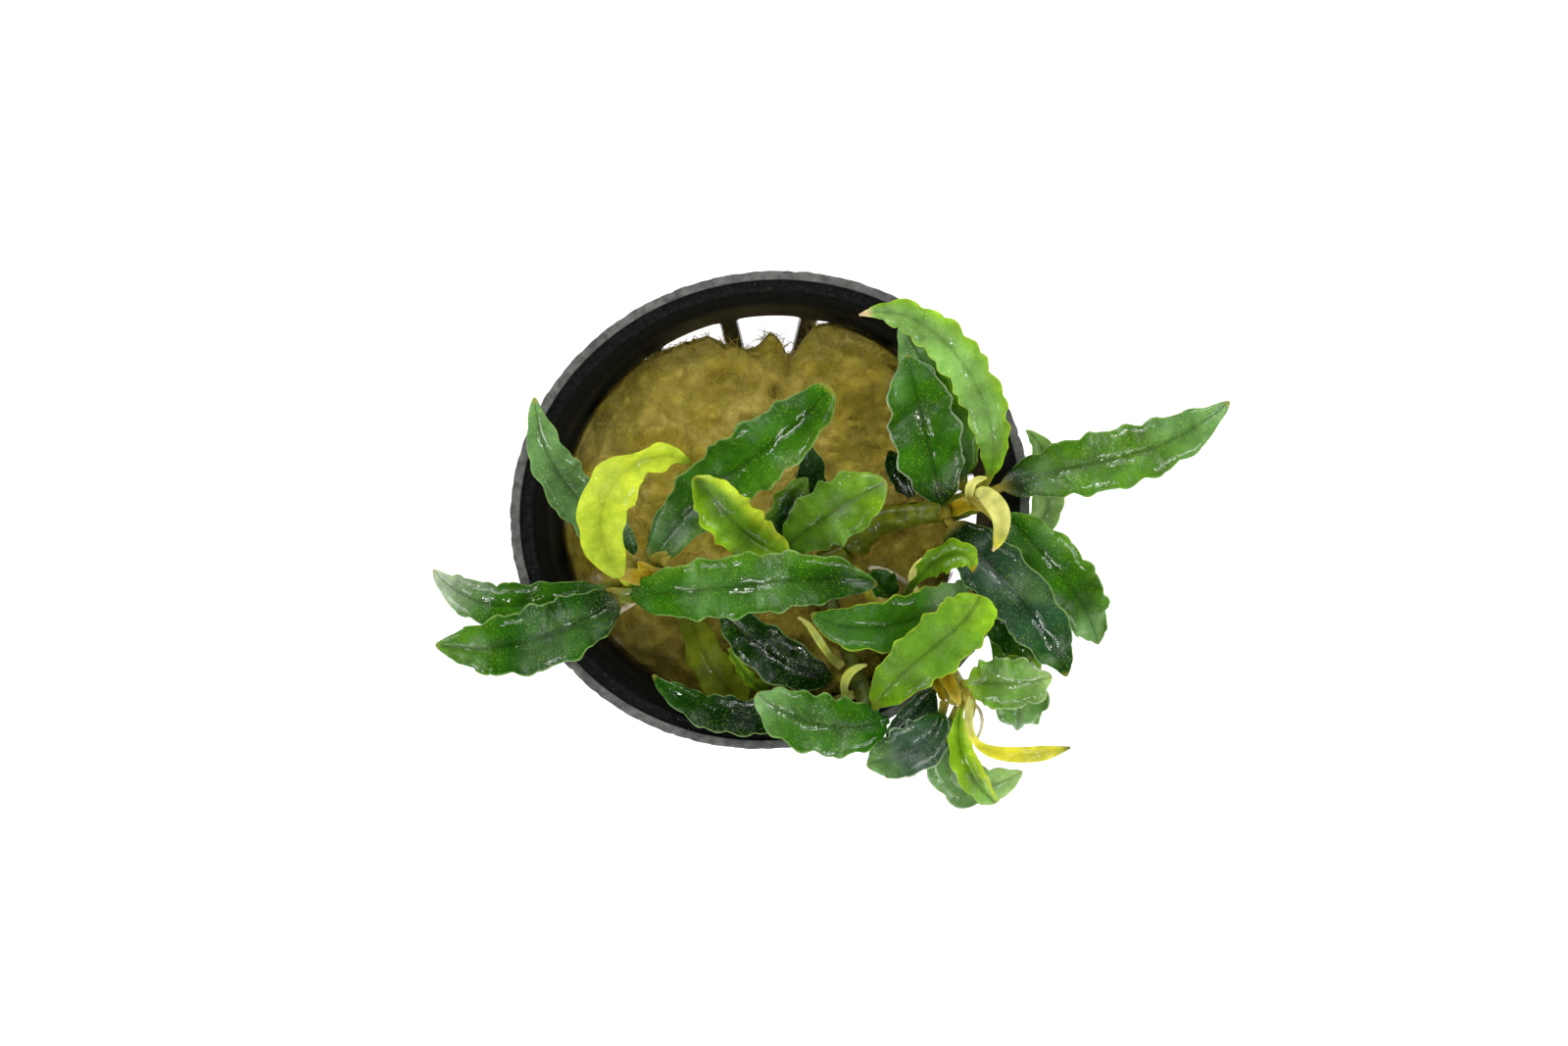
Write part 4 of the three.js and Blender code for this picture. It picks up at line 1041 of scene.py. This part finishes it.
def make_rockwool(material, fibre_material):
    """The plug as rings from the middle of its underside to the middle of its top."""
    seed = SEEDS["plug"]
    profile = np.array([(0.02, FLOOR + GAP)] + PLUG_PROFILE + [(0.01, PLUG_TOP)])
    flat = np.column_stack([profile[:, 0] * wall_radius(profile[:, 1]), profile[:, 1]])
    travel = np.append(0, np.cumsum(np.linalg.norm(np.diff(flat, axis=0), axis=1)))
    stations = np.concatenate([
        np.linspace(0, travel[1], PLUG_FLOOR_ROWS, endpoint=False),
        np.linspace(travel[1], travel[PLUG_SIDE_END], PLUG_SIDE_ROWS, endpoint=False),
        np.linspace(travel[PLUG_SIDE_END], travel[-1], PLUG_TOP_ROWS),
    ])
    rows = len(stations)
    share = np.repeat(np.interp(stations, travel, profile[:, 0]), PLUG_COLUMNS)
    height = np.repeat(np.interp(stations, travel, profile[:, 1]), PLUG_COLUMNS)
    azimuth = np.tile(np.arange(PLUG_COLUMNS) * 360 / PLUG_COLUMNS, rows)
    points = plug_point(share, height, azimuth)

    top = smooth(*PLUG_TOP_ZONE, height)
    rough = layered_noise(points, PLUG_ROUGH, seed)
    ragged = layered_noise(points, PLUG_RAGGED, seed + 3)
    pitted = np.abs(layered_noise(points, PLUG_PITS, seed + 5))
    outward = points[:, :2] / np.maximum(np.linalg.norm(points[:, :2], axis=1), 1e-6)[:, None]
    rim = smooth(*PLUG_RIM_ZONE, share) * top
    side = smooth(*PLUG_PITS_ABOVE, height) * (1 - top)
    back = bump_at(azimuth, *PLUG_BACK)
    bite = np.clip(ragged, -0.3, 1.2) * back
    snug = PLUG_SNUG * smooth(*PLUG_SNUG_ABOVE, height) * (1 - back)
    inward = snug * (1 - rim) - pitted * side - rim * (bite - snug)
    points[:, :2] += outward * inward[:, None]
    hole = near(points, *HOLE)
    points[:, 2] += (rough - HOLE_DEPTH * hole) * top
    # Painted shade: the pit and the low spots of the top are darkened where shade falls in them
    hollow_shade = np.clip(0.8 * hole + 0.5 * smooth(-0.1, -0.8, rough), 0, 1) * top

    points = squeezed(points)
    cream = sum(near(points, *bit) for bit in CREAM_BITS)
    cream = smooth(0.3, 0.7, cream + 0.3 * lattice_noise(points, 0.7, seed + 6)) * top
    ends = squeezed(np.array([[0, 0, FLOOR + GAP], [0, 0, PLUG_TOP]]))
    points = np.vstack([points, ends])
    tones = {"hollow_shade": np.append(hollow_shade, (0, 0)), "cream": np.append(cream, (0, 0))}
    faces = ring_faces(rows, PLUG_COLUMNS)
    make_piece("rockwool_plug", points, faces, tones, material, "rockwool", "rockwool")
    make_fibres(points, rows, fibre_material)


def make_fibres(points, rows, material):
    """Loose fibres on the plug's top: thin three-sided threads that lie on it in all directions."""
    rng = np.random.default_rng(SEEDS["fibres"])
    first = rows - PLUG_TOP_ROWS - FIBRE_ROWS_BEFORE
    inward = np.sqrt(rng.uniform(0, 1, FIBRE_COUNT))
    pick_row = first + (FIBRE_ROWS * (1 - inward)).astype(int)
    pick_row = np.clip(pick_row, first, rows - FIBRE_ROWS_SPARED)
    centre = points[pick_row * PLUG_COLUMNS + rng.integers(0, PLUG_COLUMNS, FIBRE_COUNT)]
    heading = rng.uniform(0, 2 * np.pi, FIBRE_COUNT)[:, None]
    bend = rng.normal(0, FIBRE_BEND, FIBRE_COUNT)[:, None]
    length = rng.uniform(*FIBRE_LENGTHS, FIBRE_COUNT)[:, None]
    radius = rng.uniform(*FIBRE_RADII, FIBRE_COUNT)[:, None]
    arch = rng.uniform(*FIBRE_ARCHES, FIBRE_COUNT)[:, None]
    tilt = rng.normal(0, FIBRE_TILT, FIBRE_COUNT)[:, None]
    steps = len(FIBRE_TAPER)
    s = np.linspace(-0.5, 0.5, steps)[None, :]
    turn = heading + bend * s * 2
    step_length = length / (steps - 1)
    x = np.cumsum(np.cos(turn) * step_length, 1)
    y = np.cumsum(np.sin(turn) * step_length, 1)
    x -= x.mean(1)[:, None]
    y -= y.mean(1)[:, None]
    z = arch * (1 - 4 * s ** 2) + tilt * s * length
    line = centre[:, None, :] + np.stack([x, y, z], -1)
    line[..., 2] -= FIBRE_SINK
    reach = np.linalg.norm(line[..., :2], axis=-1)
    limit = (wall_radius(line[..., 2]) - GAP) * (1 - RIM_SQUEEZE)
    line[..., :2] *= np.minimum(1, limit / np.maximum(reach, 1e-6))[..., None]
    across = np.stack([-np.sin(turn), np.cos(turn), np.zeros_like(turn)], -1)
    upward = np.array([0, 0, 1.0])
    thickness = (radius * np.array(FIBRE_TAPER))[..., None]
    sides = []
    for k in range(FIBRE_SIDES):
        angle = 2 * np.pi * k / FIBRE_SIDES + np.pi / 2
        sides.append(line + (across * math.cos(angle) + upward * math.sin(angle)) * thickness)
    body = np.stack(sides, 2).reshape(-1, 3)
    last = FIBRE_SIDES * steps
    quads, _ = ring_faces(steps, FIBRE_SIDES)
    caps = np.array([[0, 2, 1], [last - 3, last - 2, last - 1]])
    offsets = np.arange(FIBRE_COUNT)[:, None, None] * last
    faces = ((quads[None] + offsets).reshape(-1, 4), (caps[None] + offsets).reshape(-1, 3))
    make_piece("rockwool_fibres", body, faces, {}, material, "rockwool", "rockwool")


# Pot
def flash(radius, z, azimuth):
    """Moulding flash: the lip's outer edge wanders and has small nicks."""
    if radius < RIM_RADIUS - FLASH_WIDTH or z < POT_HEIGHT - FLANGE_HEIGHT + FLASH_ABOVE:
        return np.zeros_like(azimuth)
    seed = SEEDS["lip"]
    turns = azimuth / (2 * np.pi)
    wander = sum(h * wobble(turns, pace, seed + k) for k, (h, pace) in enumerate(FLASH_WAVES))
    nicks = np.clip(wobble(turns, NICK_PACE, seed + len(FLASH_WAVES)) - NICK_RARITY, 0, 1)
    return wander - NICK_DEPTH * nicks


def lathe(profile):
    """The profile turned round the Z axis. Its first and last points lie on the axis."""
    azimuth = 2 * np.pi * np.arange(POT_COLUMNS) / POT_COLUMNS
    rings = []
    for r, z in profile[1:-1]:
        out = r + flash(r, z, azimuth)
        x, y = out * np.cos(azimuth), out * np.sin(azimuth)
        rings.append(np.column_stack([x, y, np.full(POT_COLUMNS, z)]))
    points = np.vstack([*rings, [0, 0, profile[0][1]], [0, 0, profile[-1][1]]])
    return points, ring_faces(len(rings), POT_COLUMNS)


def rounded_profile(corners):
    """Corners of a closed outline, each but the two on the axis rounded by a small arc."""
    result = [corners[0]]
    for i in range(1, len(corners) - 1):
        here, before, after = (np.array(corners[k], float) for k in (i, i - 1, i + 1))
        to_before, to_after = before - here, after - here
        before_length, after_length = np.linalg.norm(to_before), np.linalg.norm(to_after)
        reach = min(CORNER_RADIUS, 0.4 * before_length, 0.4 * after_length)
        start = here + to_before / before_length * reach
        end = here + to_after / after_length * reach
        for s in np.arange(CORNER_STEPS + 1) / CORNER_STEPS:
            result.append(tuple((1 - s) ** 2 * start + 2 * s * (1 - s) * here + s * s * end))
    result.append(corners[-1])
    return result


def cutter(name, outline, low, high, x_axis, y_axis, z_axis):
    """A closed prism of an outline between two depths, along the given directions."""
    count = len(outline)
    mesh = bmesh.new()
    corners = [mesh.verts.new((x, y, depth)) for depth in (low, high) for x, y in outline]
    mesh.faces.new(corners[:count][::-1])
    mesh.faces.new(corners[count:])
    for i in range(count):
        j = (i + 1) % count
        mesh.faces.new((corners[i], corners[j], corners[count + j], corners[count + i]))
    for corner in corners:
        x, y, depth = corner.co
        corner.co = (np.array(x_axis) * x + np.array(y_axis) * y + np.array(z_axis) * depth) * MM
    data = bpy.data.meshes.new(name)
    mesh.to_mesh(data)
    mesh.free()
    return bpy.data.objects.new(name, data)


def slot_outline():
    """A slot's window, wider towards the top, with round corners: x is across, y is up."""
    outline = []
    for z, x_sign, start in (
        (SLOT_BOTTOM, 1, -90), (SLOT_TOP, 1, 0), (SLOT_TOP, -1, 90), (SLOT_BOTTOM, -1, 180),
    ):
        half = (2 * math.pi * (wall_radius(z) + WALL / 2) / SLOT_COUNT - RIB_WIDTH) / 2
        up = 1 if z == SLOT_BOTTOM else -1
        x, y = x_sign * (half - SLOT_CORNER), z + up * SLOT_CORNER
        for k in range(SLOT_CORNER_STEPS + 1):
            angle = math.radians(start + 90 * k / SLOT_CORNER_STEPS)
            outline.append((x + SLOT_CORNER * math.cos(angle), y + SLOT_CORNER * math.sin(angle)))
    return outline


def pot_cutters():
    """The slots of the wall and the drain slots of the floor."""
    half = DRAIN_WIDTH / 2
    drain = [(DRAIN_INNER, -half), (DRAIN_OUTER, -half), (DRAIN_OUTER, half), (DRAIN_INNER, half)]
    items = []
    for i in range(SLOT_COUNT):
        turn = math.radians(FIRST_SLOT_DEGREES + 360 * i / SLOT_COUNT)
        outward, across = (math.cos(turn), math.sin(turn), 0), (-math.sin(turn), math.cos(turn), 0)
        items.append(cutter(f"slot_{i}", slot_outline(), wall_radius(0) - 2 * WALL, RIM_RADIUS,
                            across, (0, 0, 1), outward))
    for i in range(DRAIN_COUNT):
        turn = 2 * math.pi * i / DRAIN_COUNT
        outward, across = (math.cos(turn), math.sin(turn), 0), (-math.sin(turn), math.cos(turn), 0)
        items.append(cutter(f"drain_{i}", drain, -2 * FLOOR, 2 * FLOOR, outward, across, (0, 0, 1)))
    return items


def cut_away(piece, items):
    """Cuts the items out of a piece and removes them."""
    group = bpy.data.collections.new("pot_cutters")
    bpy.context.scene.collection.children.link(group)
    for item in items:
        group.objects.link(item)
    cut = piece.modifiers.new("cut", "BOOLEAN")
    cut.operand_type = "COLLECTION"
    cut.collection = group
    cut.operation = "DIFFERENCE"
    cut.solver = "EXACT"
    bpy.context.view_layer.update()
    evaluated = piece.evaluated_get(bpy.context.evaluated_depsgraph_get())
    mesh = bpy.data.meshes.new_from_object(evaluated)
    piece.modifiers.clear()
    piece.data = mesh
    for item in items:
        bpy.data.objects.remove(item)
    bpy.data.collections.remove(group)
    return mesh


def make_pot(material):
    flange = POT_HEIGHT - FLANGE_HEIGHT
    lip = RIM_RADIUS - LIP_WIDTH
    ledge = lip - LEDGE_WIDTH
    step = STEP_Z - STEP_HEIGHT
    corners = [
        (0, 0), (wall_radius(0) + WALL, 0), (wall_radius(flange) + WALL, flange),
        (RIM_RADIUS, flange), (RIM_RADIUS, POT_HEIGHT), (lip, POT_HEIGHT), (lip, LEDGE_Z),
        (ledge, LEDGE_Z), (ledge, STEP_Z), (wall_radius(step), step), (wall_radius(FLOOR), FLOOR),
        (0, FLOOR),
    ]
    pot = make_piece("net_pot", *lathe(rounded_profile(corners)), {}, material, "pot", "pot")
    mesh = cut_away(pot, pot_cutters())
    places = np.empty(len(mesh.vertices) * 3, np.float32)
    mesh.vertices.foreach_get("co", places)
    places = places.reshape(-1, 3) / MM
    radius = np.linalg.norm(places[:, :2], axis=1)
    # How pale the lip is painted: a little on its outer face for wear, fully on its top as a
    # painted highlight
    wear_and_highlight = OUTER_WEAR * smooth(*OUTER_ZONE, radius) + smooth(*LIP_HIGHLIGHT_ZONE, places[:, 2])
    layer = mesh.attributes.new("wear_and_highlight", "FLOAT", "POINT")
    layer.data.foreach_set("value", np.clip(wear_and_highlight, 0, 1).astype(np.float32))
    mesh.vertices.foreach_set("co", (squeezed(places) * MM).astype(np.float32).ravel())
    mesh.update()
    mesh.materials.clear()
    mesh.materials.append(material)
    mesh.shade_smooth()
    mesh.set_sharp_from_angle(angle=math.radians(SHARP_DEGREES))


# Studio
def make_camera():
    data = bpy.data.cameras.new("camera")
    data.lens = LENS_MM
    data.sensor_width = SENSOR_MM
    data.clip_start, data.clip_end = CLIP_M
    camera = bpy.data.objects.new("camera", data)
    camera.location = [c * MM for c in CAMERA_MM]
    bpy.context.scene.collection.objects.link(camera)
    bpy.context.scene.camera = camera


def make_light(name, place_mm, size_mm, power):
    data = bpy.data.lights.new(name, "AREA")
    data.shape = "RECTANGLE"
    data.size, data.size_y = (s * MM for s in size_mm)
    data.energy = power
    light = bpy.data.objects.new(name, data)
    bpy.context.scene.collection.objects.link(light)
    spot = np.array(place_mm, float)
    aim = np.array(AIM_MM, float) - spot
    light.location = spot * MM
    light.rotation_mode = "QUATERNION"
    light.rotation_quaternion = Vector(aim / np.linalg.norm(aim)).to_track_quat("-Z", "Y")


def make_studio():
    scene = bpy.context.scene
    scene.view_settings.view_transform = "Standard"
    world = bpy.data.worlds.new("studio")
    scene.world = world
    world.use_nodes = True
    sky = Nodes(world.node_tree)
    direction = sky.add("ShaderNodeTexCoord").outputs["Generated"]
    split = sky.add("ShaderNodeSeparateXYZ", Vector=direction)
    strength = sky.ranged(split.outputs["Z"], SKY_LOW, SKY_HIGH, SKY_BRIGHT, SKY_DARK)
    sky.feed_all(world.node_tree.nodes["Background"], {"Strength": strength, "Color": WHITE})
    for name, ring in (("softbox", SOFTBOXES), ("lamp", LAMPS), ("spark", SPARKS)):
        for k in range(ring["count"]):
            angle = 2 * math.pi * (k + LIGHTS_TURN) / ring["count"]
            x, y = ring["radius"] * math.cos(angle), ring["radius"] * math.sin(angle)
            make_light(f"{name}_{k}", (x, y, ring["height"]), ring["size"], ring["power"])

    floor = Shader("floor_white")
    floor.set(Base_Color=FLOOR_COLOUR, Roughness=0.9, Emission_Color=WHITE, Emission_Strength=0.6)
    bpy.ops.mesh.primitive_plane_add(size=FLOOR_M)
    plane = bpy.context.object
    plane.name = "floor"
    plane.data.materials.append(floor.material)


make_camera()
make_studio()

LEAF_MATERIALS = {
    "dark": leaf_material("leaf_dark_wet", roughness=0.24, coat=0.85, speckle=0.8, gloss=0.45),
    "green": leaf_material("leaf_green_wet", roughness=0.26, coat=0.8, speckle=0.75, gloss=0.4),
    "lime": leaf_material("leaf_lime_wet", roughness=0.3, coat=0.5, speckle=0.5, gloss=0.2,
                          glow=0.15),
    "olive": leaf_material("leaf_olive_wet", roughness=0.32, coat=0.3, speckle=0.3, gloss=0.1,
                           glow=0.1),
    "sheath": leaf_material("sheath_wet", roughness=0.38, coat=0.3, speckle=0.15, gloss=0.3,
                            glow=0.2),
}
TUBE_MATERIALS = {
    "rhizome": stem_material("rhizome_skin", (0.2, 0.24, 0.008), (0.1, 0.13, 0.005), 2.6),
    "stem": stem_material("stem_skin", (0.42, 0.38, 0.03), (0.25, 0.23, 0.012), 1.6),
    "shaded": stem_material("stem_shaded", (0.09, 0.12, 0.01), (0.03, 0.045, 0.004), 1.6),
    "root": root_material("bare_root"),
}

make_pot(pot_material("black_plastic"))
make_rockwool(rockwool_material("rockwool_wet", 2.1), rockwool_material("rockwool_fibre", 2.5))
for index, row in enumerate(STEMS):
    skin = TUBE_MATERIALS[row.get("skin", row["finish"])]
    make_tube(row, skin, SEEDS["stems"] + index, **STEM_MESH)
for index, row in enumerate(LEAVES):
    make_leaf(row, LEAF_MATERIALS[row["finish"]], SEEDS["leaves"] + index)
for index, row in enumerate(SCALES):
    make_leaf({"name": f"scale_{index}", **row}, LEAF_MATERIALS["sheath"], SEEDS["scales"] + index)
for index, row in enumerate(SHEATHS):
    make_leaf(row, LEAF_MATERIALS["sheath"], SEEDS["sheaths"] + index)
for index, row in enumerate(ROOTS):
    make_tube(row, TUBE_MATERIALS["root"], SEEDS["roots"] + index, **ROOT_MESH)
